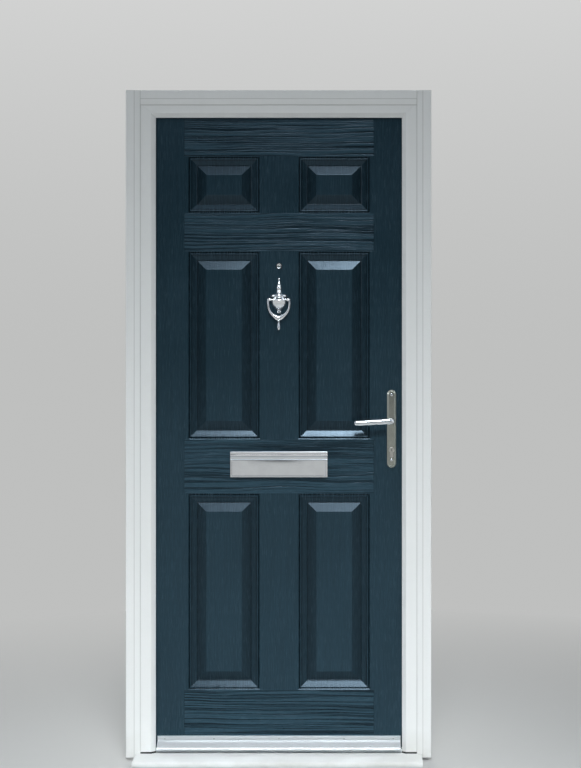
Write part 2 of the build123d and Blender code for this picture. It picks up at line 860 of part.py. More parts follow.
def hook(z):
    """A swinging hook that hangs from its pivot in its case, with its nose towards the frame."""
    with BuildSketch(upright(leaf_middle + hook_half_thickness)) as blade:
        with Locations((hook_pivot_x, z)):
            Circle(hook_boss_radius)
        outline([
            (hook_pivot_x - hook_arm_half, z),
            (hook_pivot_x - hook_arm_half, z - hook_reach + 3),
            (hook_pivot_x - hook_arm_half + 3, z - hook_reach),
            (hook_pivot_x + hook_arm_half + hook_nose - 2, z - hook_reach + 2),
            (hook_pivot_x + hook_arm_half + hook_nose, z - hook_reach + hook_nose_length),
            (hook_pivot_x + hook_arm_half, z - hook_reach + hook_nose_length + 1),
            (hook_pivot_x + hook_arm_half, z),
        ])
    extrude(blade.sketch, amount=2 * hook_half_thickness)
    pivot_y = (case_y[0] + fit_clearance, case_y[1] - fit_clearance)
    rod_y(hook_pivot_radius, hook_pivot_x, pivot_y, z)


with BuildPart() as lower_hook:
    hook(hook_heights[0])

with BuildPart() as upper_hook:
    hook(hook_heights[1])

with BuildPart() as deadbolt:
    x = (leaf_half - bolt_tail, leaf_half - fit_clearance)
    y = (leaf_middle - bolt_plate_half, leaf_middle + bolt_plate_half)
    block(x, y, (deadbolt_height - deadbolt_half, deadbolt_height + deadbolt_half))

with BuildPart() as latch_bolt:
    with BuildSketch(Plane.XY.offset(latch_height - latch_half)):
        face_x = leaf_half - fit_clearance
        y = (leaf_middle - bolt_plate_half, leaf_middle + bolt_plate_half)
        outline([
            (leaf_half - bolt_tail, y[0]), (face_x - 11, y[0]), (face_x, y[1] - 2.5),
            (face_x, y[1]), (leaf_half - bolt_tail, y[1]),
        ])
    extrude(amount=2 * latch_half)

keep_y = (leaf_middle - keep_width / 2, leaf_middle + keep_width / 2)


def keep_screw_holes(heights):
    """Cuts the countersunk screw holes of a keep."""
    for z in heights:
        rod_x(screw_head_radius, (keep_front, keep_front + 1.5), leaf_middle, z, mode=Mode.SUBTRACT)
        rod_x(screw_radius + screw_clearance, (keep_front, rebate_half), leaf_middle, z, mode=Mode.SUBTRACT)


with BuildPart() as hook_keeps:
    for z in hook_heights:
        block((keep_front, rebate_half), keep_y, (z - hook_reach - 20, z + 34))
        reach = hook_reach + keep_slot_gap
        slot_y = (leaf_middle - keep_slot_half, leaf_middle + keep_slot_half)
        slot_z = (z - reach, z + hook_arm_half + keep_slot_gap)
        block((keep_front, rebate_half), slot_y, slot_z, mode=Mode.SUBTRACT)
    keep_screw_holes(keep_screw_heights[:4])

with BuildPart() as centre_keep:
    block((keep_front, rebate_half), keep_y, centre_keep_z)
    for z, half in bolt_slots:
        slot_y = (leaf_middle - keep_slot_half, leaf_middle + keep_slot_half)
        slot_z = (z - half - keep_slot_gap, z + half + keep_slot_gap)
        block((keep_front, rebate_half), slot_y, slot_z, mode=Mode.SUBTRACT)
    keep_screw_holes(keep_screw_heights[4:])

# Lock cylinder with its two plugs
cam_y = (leaf_middle - cam_slot / 2, leaf_middle + cam_slot / 2)
cylinder_y = (outer_plate_face - cylinder_proud, inner_plate_face + cylinder_proud)

with BuildPart() as cylinder_body:
    with BuildSketch(upright(cylinder_y[1])):
        euro_profile(0)
    extrude(amount=cylinder_y[1] - cylinder_y[0])
    bore = plug_radius + plug_clearance
    rod_y(bore, lock_x, cylinder_y, cylinder_height, mode=Mode.SUBTRACT)
    x = (lock_x - 2 * cylinder_radius, lock_x + 2 * cylinder_radius)
    z = (cylinder_height - cam_bridge, cylinder_height + 2 * cylinder_radius)
    block(x, cam_y, z, mode=Mode.SUBTRACT)
    x = (lock_x - cylinder_radius, lock_x + cylinder_radius)
    rod_x(bolt_radius + bolt_clearance, x, leaf_middle, cylinder_screw_height, mode=Mode.SUBTRACT)

with BuildPart() as cylinder_screw:
    x = (lock_x - cylinder_web_half, leaf_half)
    rod_x(bolt_radius, x, leaf_middle, cylinder_screw_height)

with BuildPart() as outer_plug:
    rod_y(plug_radius, lock_x, (cylinder_y[0], cam_y[0] - plug_gap), cylinder_height)
    keyway_z = (cylinder_height - 4.5, cylinder_height + 4.5)
    block((lock_x - 0.8, lock_x + 0.8), (cylinder_y[0], cylinder_y[0] + 25), keyway_z, mode=Mode.SUBTRACT)

with BuildPart() as thumbturn:
    cam = (leaf_middle - cam_width / 2, leaf_middle + cam_width / 2)
    rod_y(plug_radius, lock_x, (cam[1], cylinder_y[1] + 2), cylinder_height)
    rod_y(cam_radius, lock_x, cam, cylinder_height)
    block((lock_x - 4, lock_x + 4), cam, (cylinder_height - cam_reach, cylinder_height))
    rod_y(cylinder_radius, lock_x, (cylinder_y[1] + 1, cylinder_y[1] + 5), cylinder_height)
    knob_y = (cylinder_y[1] + 5, cylinder_y[1] + 22)
    block((lock_x - 2.5, lock_x + 2.5), knob_y, (cylinder_height - 13, cylinder_height + 13))
    fillet(edges().filter_by(Axis.Y).group_by(Axis.Y)[-1], radius=2)


# Handles: long narrow plates, and levers that share one square spindle
def backplate(face_y, door_y):
    """A long plate with round ends and a bevelled edge, its flat back on the leaf."""
    outward = face_y < door_y
    z = (spindle_height - plate_below, spindle_height + plate_above)
    with BuildSketch(upright(door_y)) as plate:
        with Locations((lock_x, (z[0] + z[1]) / 2)):
            SlotOverall(z[1] - z[0], plate_width, rotation=90)
    extrude(plate.sketch, amount=plate_thickness if outward else -plate_thickness)
    rim = faces().sort_by(Axis.Y)[0 if outward else -1].edges()
    chamfer(rim, length=plate_edge, length2=plate_thickness / 2)
    y = sorted((face_y, door_y))
    rod_y(neck_radius + neck_clearance, lock_x, y, spindle_height, mode=Mode.SUBTRACT)
    with BuildSketch(upright(y[1])) as keyhole:
        euro_profile(fit_clearance)
    extrude(keyhole.sketch, amount=plate_thickness, mode=Mode.SUBTRACT)


with BuildPart() as outer_backplate:
    backplate(outer_plate_face, leaf_front)
    for x, z in handle_bolts:
        hole = (outer_plate_face + 3, leaf_front)
        rod_y(bolt_radius + bolt_clearance, x, hole, z, mode=Mode.SUBTRACT)

with BuildPart() as inner_backplate:
    backplate(inner_plate_face, leaf_back)
    for x, z in handle_bolts:
        through = (leaf_back, inner_plate_face)
        rod_y(bolt_radius + bolt_clearance, x, through, z, mode=Mode.SUBTRACT)
        seat = (inner_plate_face - bolt_head_height, inner_plate_face + 1)
        rod_y(bolt_head_radius + bolt_clearance, x, seat, z, mode=Mode.SUBTRACT)

neck_depth = 8


def lever():
    """The outside lever: a round neck in the plate and a flat arm that droops a little to its tip."""
    rod_y(neck_radius, lock_x, (lever_back_y, outer_plate_face + neck_depth), spindle_height)
    tip = (lock_x - lever_length + lever_tip_radius, spindle_height - lever_droop)
    with BuildSketch(upright(lever_back_y)) as arm:
        with Locations((lock_x, spindle_height)):
            Circle(lever_root_half)
        with Locations(tip):
            Circle(lever_tip_radius)
        outline([
            (lock_x, spindle_height + lever_root_half),
            (tip[0], tip[1] + lever_tip_radius),
            (tip[0], tip[1] - lever_tip_radius),
            (lock_x, spindle_height - lever_root_half),
        ])
    extrude(arm.sketch, amount=lever_thickness)
    half = spindle_half + spindle_clearance
    hole = (lever_back_y + 5, outer_plate_face + neck_depth)
    x = (lock_x - half, lock_x + half)
    block(x, hole, (spindle_height - half, spindle_height + half), mode=Mode.SUBTRACT)


with BuildPart() as outer_lever:
    lever()
    fillet(faces().sort_by(Axis.Y)[0].edges(), radius=3)

with BuildPart() as inner_lever:
    mirror(outer_lever.part, about=upright(leaf_middle))

with BuildPart() as spindle:
    reach = leaf_middle - lever_back_y - 6
    y = (leaf_middle - reach, leaf_middle + reach)
    x = (lock_x - spindle_half, lock_x + spindle_half)
    block(x, y, (spindle_height - spindle_half, spindle_height + spindle_half))

with BuildPart() as lock_hub:
    y = (cavity_y[0] + rail_gap, cavity_y[1] - rail_gap)
    rod_y(hub_radius, lock_x, y, spindle_height)
    half = spindle_half + spindle_clearance
    x = (lock_x - half, lock_x + half)
    block(x, y, (spindle_height - half, spindle_height + half), mode=Mode.SUBTRACT)

# Letterplate: a hooded frame and a sprung flap on each face, and a sleeve through the leaf
slot_x = (-letter_slot_length / 2, letter_slot_length / 2)


def letter_frame():
    """The outside frame: a base plate with the slot, a ribbed hood over the hinge, and a rim."""
    half = letter_length / 2
    base_y = (leaf_front - letter_base, leaf_front)
    block((-half, half), base_y, (letter_bottom, letter_top))
    block(slot_x, base_y, (slot_base, slot_top), mode=Mode.SUBTRACT)
    block((-half, half), (leaf_front - letter_hood_depth, base_y[0]), (hood_base, letter_top))
    rim_y = (leaf_front - letter_border_depth, base_y[0])
    for side in (-1, 1):
        x = sorted((side * half, side * (half - letter_border)))
        block(x, rim_y, (letter_bottom, hood_base))
    block((-half, half), rim_y, (letter_bottom, letter_bottom + letter_border))
    rib_pitch = letter_hood_height / 5
    for i in range(1, 5):
        z = hood_base + i * rib_pitch
        rod_x(0.9, (-half, half), leaf_front - letter_hood_depth, z, mode=Mode.SUBTRACT)
    pin_x = (-half + 1, half - 1)
    rod_x(flap_pin_radius, pin_x, leaf_front - flap_axis_offset, flap_axis_height, mode=Mode.SUBTRACT)
    for x, z in letter_bolts:
        rod_y(bolt_radius + bolt_clearance, x, base_y, z, mode=Mode.SUBTRACT)


def letter_flap():
    """The outside flap, which hangs from its pin and covers the slot."""
    half = letter_length / 2 - letter_border - flap_gap
    axis_y = leaf_front - flap_axis_offset
    y = (axis_y - flap_thickness / 2, axis_y + flap_thickness / 2)
    block((-half, half), y, (letter_bottom + letter_border + flap_gap, flap_axis_height))
    rod_x(flap_knuckle_radius, (-half, half), axis_y, flap_axis_height)
    bore = flap_pin_radius + flap_pin_clearance
    rod_x(bore, (-half, half), axis_y, flap_axis_height, mode=Mode.SUBTRACT)


with BuildPart() as letterplate_outer_frame:
    letter_frame()

with BuildPart() as letterplate_inner_frame:
    mirror(letterplate_outer_frame.part, about=upright(leaf_middle))

with BuildPart() as outer_flap:
    letter_flap()

with BuildPart() as inner_flap:
    mirror(outer_flap.part, about=upright(leaf_middle))

with BuildPart() as letterplate_sleeve:
    wall_x = (slot_x[0] - sleeve_wall, slot_x[1] + sleeve_wall)
    block(wall_x, (leaf_front, leaf_back), (slot_base - sleeve_wall, slot_top + sleeve_wall))
    block(slot_x, (leaf_front, leaf_back), (slot_base, slot_top), mode=Mode.SUBTRACT)

with BuildPart() as flap_pins:
    half = letter_length / 2 - 1
    for y in (leaf_front - flap_axis_offset, leaf_back + flap_axis_offset):
        rod_x(flap_pin_radius, (-half, half), y, flap_axis_height)

# Knocker: an urn in half relief, and a ring that hangs from the bar through it
urn_points = [
    (0, 70), (2.6, 62), (3.4, 48), (5, 44), (7.3, 41.5), (7.3, 36), (5, 33), (8.5, 27), (12, 20), (22, 15),
    (30, 15), (30, 8), (17, 7), (17, -1), (25.5, -3), (25, -9), (20, -20), (12, -32), (8, -38), (8, -43), (0, -43),
]

with BuildPart() as knocker_body:
    with BuildSketch(upright(leaf_front)):
        with BuildLine():
            Polyline(*[(r, knocker_height + z) for r, z in urn_points], close=True)
        make_face()
    revolve(axis=Axis((0, leaf_front, 0), (0, 0, 1)))
    block((-40, 40), (leaf_front, leaf_front + 40), (knocker_height - 80, knocker_height + 80), mode=Mode.SUBTRACT)
    rod_x(knocker_bar_radius, (-knocker_eye_outer - 4, knocker_eye_outer + 4), knocker_y, knocker_height)
    for side in (-1, 1):
        x = sorted((side * (knocker_eye_outer + 0.3), side * (knocker_eye_outer + 4)))
        rod_x(knocker_eye_radius - 1, x, knocker_y, knocker_height)
    for x, z in knocker_bolts[:2]:
        rod_y(bolt_radius + bolt_clearance, x, (leaf_front - 5, leaf_front), z, mode=Mode.SUBTRACT)

with BuildPart() as knocker_ring:
    with BuildSketch(upright(knocker_y + ring_thickness / 2)):
        with Locations((0, knocker_height - 25)):
            Ellipse(38, 45)
        with Locations((0, knocker_height - 14)):
            Ellipse(28.5, 31, mode=Mode.SUBTRACT)
        with Locations((0, knocker_height + 20)):
            Rectangle(90, 40, mode=Mode.SUBTRACT)
    extrude(amount=ring_thickness)
    fillet(faces().sort_by(Axis.Y)[0].edges().filter_by(GeomType.LINE, reverse=True), radius=2.5)
    for side in (-1, 1):
        x = sorted((side * knocker_eye_inner, side * knocker_eye_outer))
        rod_x(knocker_eye_radius, x, knocker_y, knocker_height)
        shoulder = sorted((side * knocker_eye_outer, side * 45))
        rod_x(knocker_eye_radius, shoulder, knocker_y, knocker_height, mode=Mode.SUBTRACT)
    bore = knocker_bar_radius + knocker_eye_clearance
    rod_x(bore, (-40, 40), knocker_y, knocker_height, mode=Mode.SUBTRACT)
    with BuildSketch(upright(knocker_y)):
        outline([(r, knocker_height + z) for r, z in ((0, -66), (4, -66), (5.5, -76), (3.5, -88), (0, -98))])
    revolve(axis=Axis((0, knocker_y, 0), (0, 0, 1)))

with BuildPart() as knocker_strike:
    y = (knocker_y + ring_thickness / 2 + strike_gap, leaf_front)
    rod_y(strike_radius, 0, y, knocker_height - strike_drop)
    hole = (y[0] + 3, leaf_front)
    rod_y(bolt_radius + bolt_clearance, 0, hole, knocker_height - strike_drop, mode=Mode.SUBTRACT)


# Bolts from the inside, through the leaf into the outside fittings
def through_bolt(x, z, tip_y, head_y):
    """A bolt with a low round head whose underside is at head_y."""
    rod_y(bolt_radius, x, (tip_y, head_y), z)
    rod_y(bolt_head_radius, x, (head_y, head_y + bolt_head_height), z)


with BuildPart() as through_bolts:
    for x, z in handle_bolts:
        through_bolt(x, z, outer_plate_face + 3, inner_plate_face - bolt_head_height)
    for x, z in knocker_bolts:
        through_bolt(x, z, leaf_front - 4, leaf_back)
    for x, z in letter_bolts:
        through_bolt(x, z, leaf_front - letter_base, leaf_back + letter_base)

# Viewer: two flanged tubes, one inside the other, each with its lens
with BuildPart() as viewer_outer_tube:
    tube_end = leaf_middle + viewer_overlap / 2
    rod_y(viewer_radius, 0, (leaf_front, tube_end), viewer_height)
    rod_y(viewer_flange_radius, 0, (leaf_front - viewer_flange, leaf_front), viewer_height)
    bore = (leaf_front - viewer_flange, tube_end)
    rod_y(viewer_bore, 0, bore, viewer_height, mode=Mode.SUBTRACT)

with BuildPart() as viewer_inner_tube:
    rod_y(viewer_inner_radius, 0, (leaf_middle - viewer_overlap / 2, leaf_back), viewer_height)
    rod_y(viewer_flange_radius + 1, 0, (leaf_back, leaf_back + viewer_flange), viewer_height)
    bore = (leaf_middle - viewer_overlap / 2, leaf_back + viewer_flange)
    rod_y(viewer_inner_bore, 0, bore, viewer_height, mode=Mode.SUBTRACT)

with BuildPart() as viewer_lenses:
    rod_y(viewer_bore, 0, (leaf_front - 1, leaf_front - 1 + lens_thickness), viewer_height)
    rod_y(viewer_inner_bore, 0, (leaf_back - lens_thickness, leaf_back), viewer_height)

# Weather bar: a bent drip section, its end caps and its screws
bar_top = bar_base + bar_height
bar_tip = leaf_front - bar_projection
bar_outer = [
    (leaf_front, bar_top),
    (leaf_front - bar_flange - 2, bar_top),
    (leaf_front - bar_flange - 2, bar_top - bar_bead_height),
    (leaf_front - bar_flange, bar_top - bar_bead_height - 1.5),
    (leaf_front - bar_flange, bar_top - bar_flange_height),
    (bar_tip + 2, bar_base + 8),
    (bar_tip, bar_base + 5),
    (bar_tip, bar_base),
]
bar_inner = [
    (bar_tip + bar_wall, bar_base),
    (bar_tip + bar_wall, bar_base + 4.9),
    (leaf_front - bar_wall, bar_top - bar_flange_height - 1.8),
    (leaf_front - bar_wall, bar_base + 2),
    (leaf_front, bar_base + 2),
]

with BuildPart() as weather_bar:
    with BuildSketch(Plane.YZ.offset(-bar_length / 2)):
        outline(bar_outer + bar_inner)
    extrude(amount=bar_length)
    bar_screw_holes((leaf_front - bar_flange, leaf_front))

with BuildPart() as weather_bar_end_caps:
    for x in (-bar_length / 2 - bar_cap_thickness, bar_length / 2):
        with BuildSketch(Plane.YZ.offset(x)):
            outline(bar_outer + [(leaf_front, bar_base)])
        extrude(amount=bar_cap_thickness)

with BuildPart() as weather_bar_screws:
    for x in bar_screw_places:
        face_y = leaf_front - bar_flange
        rod_y(screw_radius, x, (face_y, leaf_front + screw_length - 2), bar_screw_height)
        rod_y(screw_head_radius - 0.5, x, (face_y - 1.8, face_y), bar_screw_height)

pieces = {
    "cill": cill,
    "cill_end_caps": cill_end_caps,
    "threshold": threshold,
    "hinge_jamb": hinge_jamb,
    "lock_jamb": lock_jamb,
    "head_bar": head_bar,
    "frame_reinforcement": frame_reinforcement,
    "frame_gasket": frame_gasket,
    "left_trim": left_trim,
    "right_trim": right_trim,
    "head_trim": head_trim,
    "hinge_frame_leaves": hinge_frame_leaves,
    "hinge_pins": hinge_pins,
    "frame_screws": frame_screws,
    "hook_keeps": hook_keeps,
    "centre_keep": centre_keep,
    "outer_skin": outer_skin,
    "inner_skin": inner_skin,
    "foam_core": foam_core,
    "hinge_stile": hinge_stile,
    "lock_stile": lock_stile,
    "top_rail": top_rail,
    "bottom_rail": bottom_rail,
    "bottom_seal": bottom_seal,
    "weather_bar": weather_bar,
    "weather_bar_end_caps": weather_bar_end_caps,
    "weather_bar_screws": weather_bar_screws,
    "hinge_door_leaves": hinge_door_leaves,
    "door_screws": door_screws,
    "through_bolts": through_bolts,
    "lock_faceplate": lock_faceplate,
    "lock_case": lock_case,
    "hook_cases": hook_cases,
    "drive_rail": drive_rail,
    "lower_hook": lower_hook,
    "upper_hook": upper_hook,
    "deadbolt": deadbolt,
    "latch_bolt": latch_bolt,
    "cylinder_body": cylinder_body,
    "cylinder_screw": cylinder_screw,
    "outer_plug": outer_plug,
    "thumbturn": thumbturn,
    "outer_backplate": outer_backplate,
    "inner_backplate": inner_backplate,
    "outer_lever": outer_lever,
    "inner_lever": inner_lever,
    "spindle": spindle,
    "lock_hub": lock_hub,
    "letterplate_outer_frame": letterplate_outer_frame,
    "letterplate_inner_frame": letterplate_inner_frame,
    "letterplate_sleeve": letterplate_sleeve,
    "outer_flap": outer_flap,
    "inner_flap": inner_flap,
    "flap_pins": flap_pins,
    "knocker_body": knocker_body,
    "knocker_ring": knocker_ring,
    "knocker_strike": knocker_strike,
    "viewer_outer_tube": viewer_outer_tube,
    "viewer_inner_tube": viewer_inner_tube,
    "viewer_lenses": viewer_lenses,
}

for name, piece in pieces.items():
    finish(piece, name)
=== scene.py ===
"""Dresses a panelled front door in its frame: skins, fittings, finishes and a plain studio."""

import math

import bmesh
import bpy
from bpy.props import FloatProperty, FloatVectorProperty, IntProperty, PointerProperty
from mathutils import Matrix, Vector


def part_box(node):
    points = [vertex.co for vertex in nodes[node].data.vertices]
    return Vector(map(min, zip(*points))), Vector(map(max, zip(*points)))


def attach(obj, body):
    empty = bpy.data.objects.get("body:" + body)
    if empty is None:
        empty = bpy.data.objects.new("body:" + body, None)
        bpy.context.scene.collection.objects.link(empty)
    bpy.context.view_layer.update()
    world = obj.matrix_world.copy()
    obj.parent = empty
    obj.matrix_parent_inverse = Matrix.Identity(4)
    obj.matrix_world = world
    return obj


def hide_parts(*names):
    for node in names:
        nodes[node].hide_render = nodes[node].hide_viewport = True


bl_info = {
    "name": "Panelled Front Door",
    "version": (1, 0, 0),
    "blender": (4, 5, 0),
    "location": "View3D > Sidebar > Front Door",
    "description": "Builds the visible pieces, finishes and stage of a panelled front door",
    "category": "Object",
}

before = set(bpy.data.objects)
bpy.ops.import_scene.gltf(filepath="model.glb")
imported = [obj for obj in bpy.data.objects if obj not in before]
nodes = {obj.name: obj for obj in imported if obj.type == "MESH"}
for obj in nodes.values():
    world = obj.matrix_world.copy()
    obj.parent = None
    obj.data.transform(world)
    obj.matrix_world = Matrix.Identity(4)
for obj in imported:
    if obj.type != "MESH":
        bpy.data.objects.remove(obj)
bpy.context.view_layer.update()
MM = 0.001


def node_range(name):
    """Lowest and highest corner of a CAD node, in millimetres."""
    low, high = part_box(name)
    return low / MM, high / MM


def middle_of(low, high):
    return [(low[i] + high[i]) / 2 for i in range(3)]


SKIN_LOW, SKIN_HIGH = node_range("outer_skin")
FACE = SKIN_LOW.y
BACK = node_range("inner_skin")[1].y
MIDDLE = (FACE + BACK) / 2


# Sizes and colours that a user would change


def size_property(name, description, default):
    return FloatProperty(name=name, description=description, default=default)


def colour_property(name, description, default):
    return FloatVectorProperty(
        name=name, description=description, subtype="COLOR", size=3, default=default
    )


class DoorSizes(bpy.types.PropertyGroup):
    """Sizes of the visible pieces, in millimetres"""

    muntin: size_property("Muntin", "Width between the two columns of panels", 121.0)
    panel_width: size_property("Panel width", "Width of each raised panel", 231.5)
    top_base: size_property("Top panel base", "Height of the top panels' lower edge", 1745.0)
    top_height: size_property("Top panel height", "Height of the top panels", 183.0)
    middle_base: size_property("Middle panel base", "Height of the middle panels' lower edge", 1022.0)
    middle_height: size_property("Middle panel height", "Height of the middle panels", 602.0)
    bottom_base: size_property("Bottom panel base", "Height of the bottom panels' lower edge", 220.0)
    bottom_height: size_property("Bottom panel height", "Height of the bottom panels", 629.0)
    grain_joint: size_property("Grain joint", "From the centre to where stile and rail grain meet", 303.0)
    edge: size_property("Edge rounding", "Rounding of the plastic bars' corners", 1.0)
    lathe_steps: IntProperty(
        name="Lathe steps", description="Facets round a turned piece", default=64, min=12
    )
    screw_recess: size_property("Screw recess", "Length of the cross in a screw's head", 4.2)


class DoorFinishes(bpy.types.PropertyGroup):
    """Colours of the finishes"""

    skin: colour_property("Leaf outside", "Colour of the outer skin", (0.0001, 0.0122, 0.0205))
    inner_skin: colour_property("Leaf inside", "Colour of the inner skin", (0.78, 0.79, 0.78))
    plastic: colour_property("Frame", "Colour of the frame, trims and cill", (0.80, 0.815, 0.815))
    chrome: colour_property("Chrome", "Colour of the polished fittings", (0.84, 0.87, 0.90))
    # The aluminium's bluish white is partly the metal's own colour and partly a painted reflection of the sky
    aluminium: colour_property("Aluminium", "Colour of the weather bar and threshold", (0.93, 0.97, 1.0))
    backdrop: colour_property("Backdrop", "Colour of the floor and background", (0.52, 0.525, 0.52))


def sizes():
    return bpy.context.scene.door_sizes


def panel_spans():
    """Base and height of the top, middle and bottom panels."""
    s = sizes()
    return (s.top_base, s.top_height), (s.middle_base, s.middle_height), (s.bottom_base, s.bottom_height)


# Node tree helpers


class Value:
    """A node's output. Arithmetic on it adds Math nodes to its tree."""

    def __init__(self, socket):
        self.socket = socket
        self.tree = socket.id_data

    def __add__(self, other):
        return maths(self.tree, "ADD", self, other)

    def __sub__(self, other):
        return maths(self.tree, "SUBTRACT", self, other)

    def __rsub__(self, other):
        return maths(self.tree, "SUBTRACT", other, self)

    def __mul__(self, other):
        return maths(self.tree, "MULTIPLY", self, other)

    def __truediv__(self, other):
        return maths(self.tree, "DIVIDE", self, other)

    def __abs__(self):
        return maths(self.tree, "ABSOLUTE", self)

    def below(self, limit):
        return maths(self.tree, "LESS_THAN", self, limit)

    def above(self, limit):
        return maths(self.tree, "GREATER_THAN", self, limit)

    def mapped(self, low, high, start=0.0, end=1.0):
        """The value mapped from one range to another and held inside it."""
        inputs = {"Value": self, "From Min": low, "From Max": high, "To Min": start, "To Max": end}
        return value(self.tree, "ShaderNodeMapRange", inputs, clamp=True)


def feed(socket, given):
    """Links another node's value to an input, or sets the input to a constant."""
    if isinstance(given, Value):
        given.tree.links.new(given.socket, socket)
    else:
        socket.default_value = given


def put(tree, kind, inputs=None, **settings):
    """Adds a node with its settings and inputs."""
    made = tree.nodes.new(kind)
    for name, setting in settings.items():
        setattr(made, name, setting)
    for key, given in (inputs or {}).items():
        feed(made.inputs[key], given)
    return made


def value(tree, kind, inputs=None, output=0, **settings):
    """Adds a node and gives one of its outputs."""
    return Value(put(tree, kind, inputs, **settings).outputs[output])


def outputs_of(node):
    return {socket.name: Value(socket) for socket in node.outputs}


def maths(tree, operation, *values, clamp=False):
    return value(tree, "ShaderNodeMath", dict(enumerate(values)), operation=operation, use_clamp=clamp)


def vector(tree, x=0.0, y=0.0, z=0.0):
    return value(tree, "ShaderNodeCombineXYZ", {0: x, 1: y, 2: z})


def split(place):
    """The three parts of a vector."""
    return [Value(socket) for socket in put(place.tree, "ShaderNodeSeparateXYZ", {0: place}).outputs]


def noise(place, scale=1.0, detail=1.0, roughness=0.5):
    inputs = {"Vector": place, "Scale": scale, "Detail": detail, "Roughness": roughness}
    return value(place.tree, "ShaderNodeTexNoise", inputs)


def mix(share, first, second):
    """The number between two numbers."""
    return value(share.tree, "ShaderNodeMix", {"Factor": share, 2: first, 3: second})


def blend(share, first, second):
    """The colour between two colours."""
    colours = [c if isinstance(c, Value) else (*c[:3], 1) for c in (first, second)]
    inputs = {"Factor": share, 6: colours[0], 7: colours[1]}
    return value(share.tree, "ShaderNodeMix", inputs, 2, data_type="RGBA")


MADE = {}


def once(key, maker, *arguments):
    """What a maker returns, made the first time that it is asked for."""
    if key not in MADE:
        MADE[key] = maker(*arguments)
    return MADE[key]


def new_group(name, inputs, outputs, kind="ShaderNodeTree"):
    """An empty node group, its inputs by name and its output node's sockets."""
    tree = bpy.data.node_groups.new(name, kind)
    for label, socket_type, default in inputs:
        socket = tree.interface.new_socket(
            name=label, in_out="INPUT", socket_type=f"NodeSocket{socket_type}"
        )
        if default is not None:
            socket.default_value = default
    for label, socket_type in outputs:
        tree.interface.new_socket(name=label, in_out="OUTPUT", socket_type=f"NodeSocket{socket_type}")
    return tree, outputs_of(tree.nodes.new("NodeGroupInput")), tree.nodes.new("NodeGroupOutput").inputs


def wood_grain_group():
    """Moulded wood grain: long wavy lines with short pores between them."""
    tree, given, out = new_group(
        "Moulded Grain",
        [
            ("Along", "Float", 0.0), ("Across", "Float", 0.0), ("Seed", "Float", 0.0),
            ("Line Density", "Float", 250.0), ("Waviness", "Float", 6.0),
        ],
        [("Height", "Float"), ("Pores", "Float")],
    )
    along, across, seed = given["Along"], given["Across"], given["Seed"]
    drift = noise(vector(tree, along * 3.4, across * 9.0, seed))
    place = across * given["Line Density"] + (drift - 0.5) * given["Waviness"]
    ridge = noise(vector(tree, along * 2.4, place, seed), detail=2.0).mapped(0.43, 0.57)
    pore = noise(vector(tree, along * 22.0, place * 3.0, seed)).mapped(0.52, 0.66)
    feed(out["Height"], ridge * 0.85 - pore * 0.15)
    feed(out["Pores"], pore)
    return tree


def weathering_group():
    """Slow changes of shade and gloss over a surface, with small specks of dust and upright streaks."""
    tree, given, out = new_group(
        "Weathering",
        [("Vector", "Vector", None), ("Patch Scale", "Float", 3.0), ("Speck Scale", "Float", 260.0)],
        [("Patch", "Float"), ("Speck", "Float"), ("Streak", "Float")],
    )
    place = given["Vector"]
    run = value(tree, "ShaderNodeMapping", {"Vector": place, "Scale": (70.0, 70.0, 1.6)})
    feed(out["Patch"], noise(place, given["Patch Scale"], 5.0, 0.6).mapped(0.32, 0.68))
    feed(out["Speck"], noise(place, given["Speck Scale"], 2.0).mapped(0.60, 0.74))
    feed(out["Streak"], noise(run, detail=3.0).mapped(0.42, 0.72))
    return tree


def brushed_group():
    """Fine parallel lines of drawn or brushed metal."""
    tree, given, out = new_group(
        "Brushed Lines",
        [("Vector", "Vector", None), ("Stretch", "Vector", (3.0, 900.0, 900.0))],
        [("Height", "Float"), ("Shade", "Float")],
    )
    stretched = {0: given["Vector"], 1: given["Stretch"]}
    drawn = value(tree, "ShaderNodeVectorMath", stretched, operation="MULTIPLY")
    lines = noise(drawn, 1.0, 3.0, 0.7)
    feed(out["Height"], lines)
    feed(out["Shade"], lines.mapped(0.35, 0.65))
    return tree


def shared(tree, maker, inputs):
    """The outputs of one of the shared groups."""
    return outputs_of(put(tree, "ShaderNodeGroup", inputs, node_tree=once(maker, maker)))


def weathering(place, patch, speck=260.0):
    return shared(place.tree, weathering_group, {"Vector": place, "Patch Scale": patch, "Speck Scale": speck})


# Materials

NEUTRAL_GLOSS = (1.0, 1.0, 1.0, 1)
COOL_GLOSS = (0.58, 0.79, 1.0, 1)
GRIME = (0.42, 0.40, 0.35)
# Colour of the painted shade lines at the joints of frame and trims
JOINT_SHADE = (0.30, 0.31, 0.29)
BLACK_SEALER = (0.012, 0.013, 0.014)


def new_material(name, colour, roughness, **constants):
    """A material, its Principled BSDF and the object coordinates that its patterns follow."""
    made = bpy.data.materials.new(name)
    made.use_nodes = True
    made.diffuse_color = (*colour, 1)
    shader = made.node_tree.nodes["Principled BSDF"]
    dress(shader, Base_Color=(*colour, 1), Roughness=roughness, **constants)
    return made, shader, value(made.node_tree, "ShaderNodeTexCoord", output="Object")


def dress(shader, relief=None, depth=0.0, strength=1.0, **values):
    """Feeds a shader's inputs, and its bump from a relief with a depth in metres."""
    for label, given in values.items():
        feed(shader.inputs[label.replace("_", " ")], given)
    if relief is not None:
        inputs = {"Height": relief, "Distance": depth, "Strength": strength}
        feed(shader.inputs["Normal"], value(shader.id_data, "ShaderNodeBump", inputs))


def grain_directions(place):
    """Coordinates along and across the grain, its joints, and 1 where it lies level, on the rails."""
    joint = sizes().grain_joint * MM
    seam_width = 0.0012
    x, _, z = split(place)
    upright = None
    for base, height in panel_spans():
        here = abs(z - (base + height / 2) * MM).below(height / 2 * MM)
        upright = here if upright is None else upright + here
    level = abs(x).below(joint) * (1.0 - upright)
    seam = abs(abs(x) - joint).mapped(0.0, seam_width, 1.0, 0.0) * (1.0 - upright)
    return mix(level, z, x), mix(level, x, z), seam, level


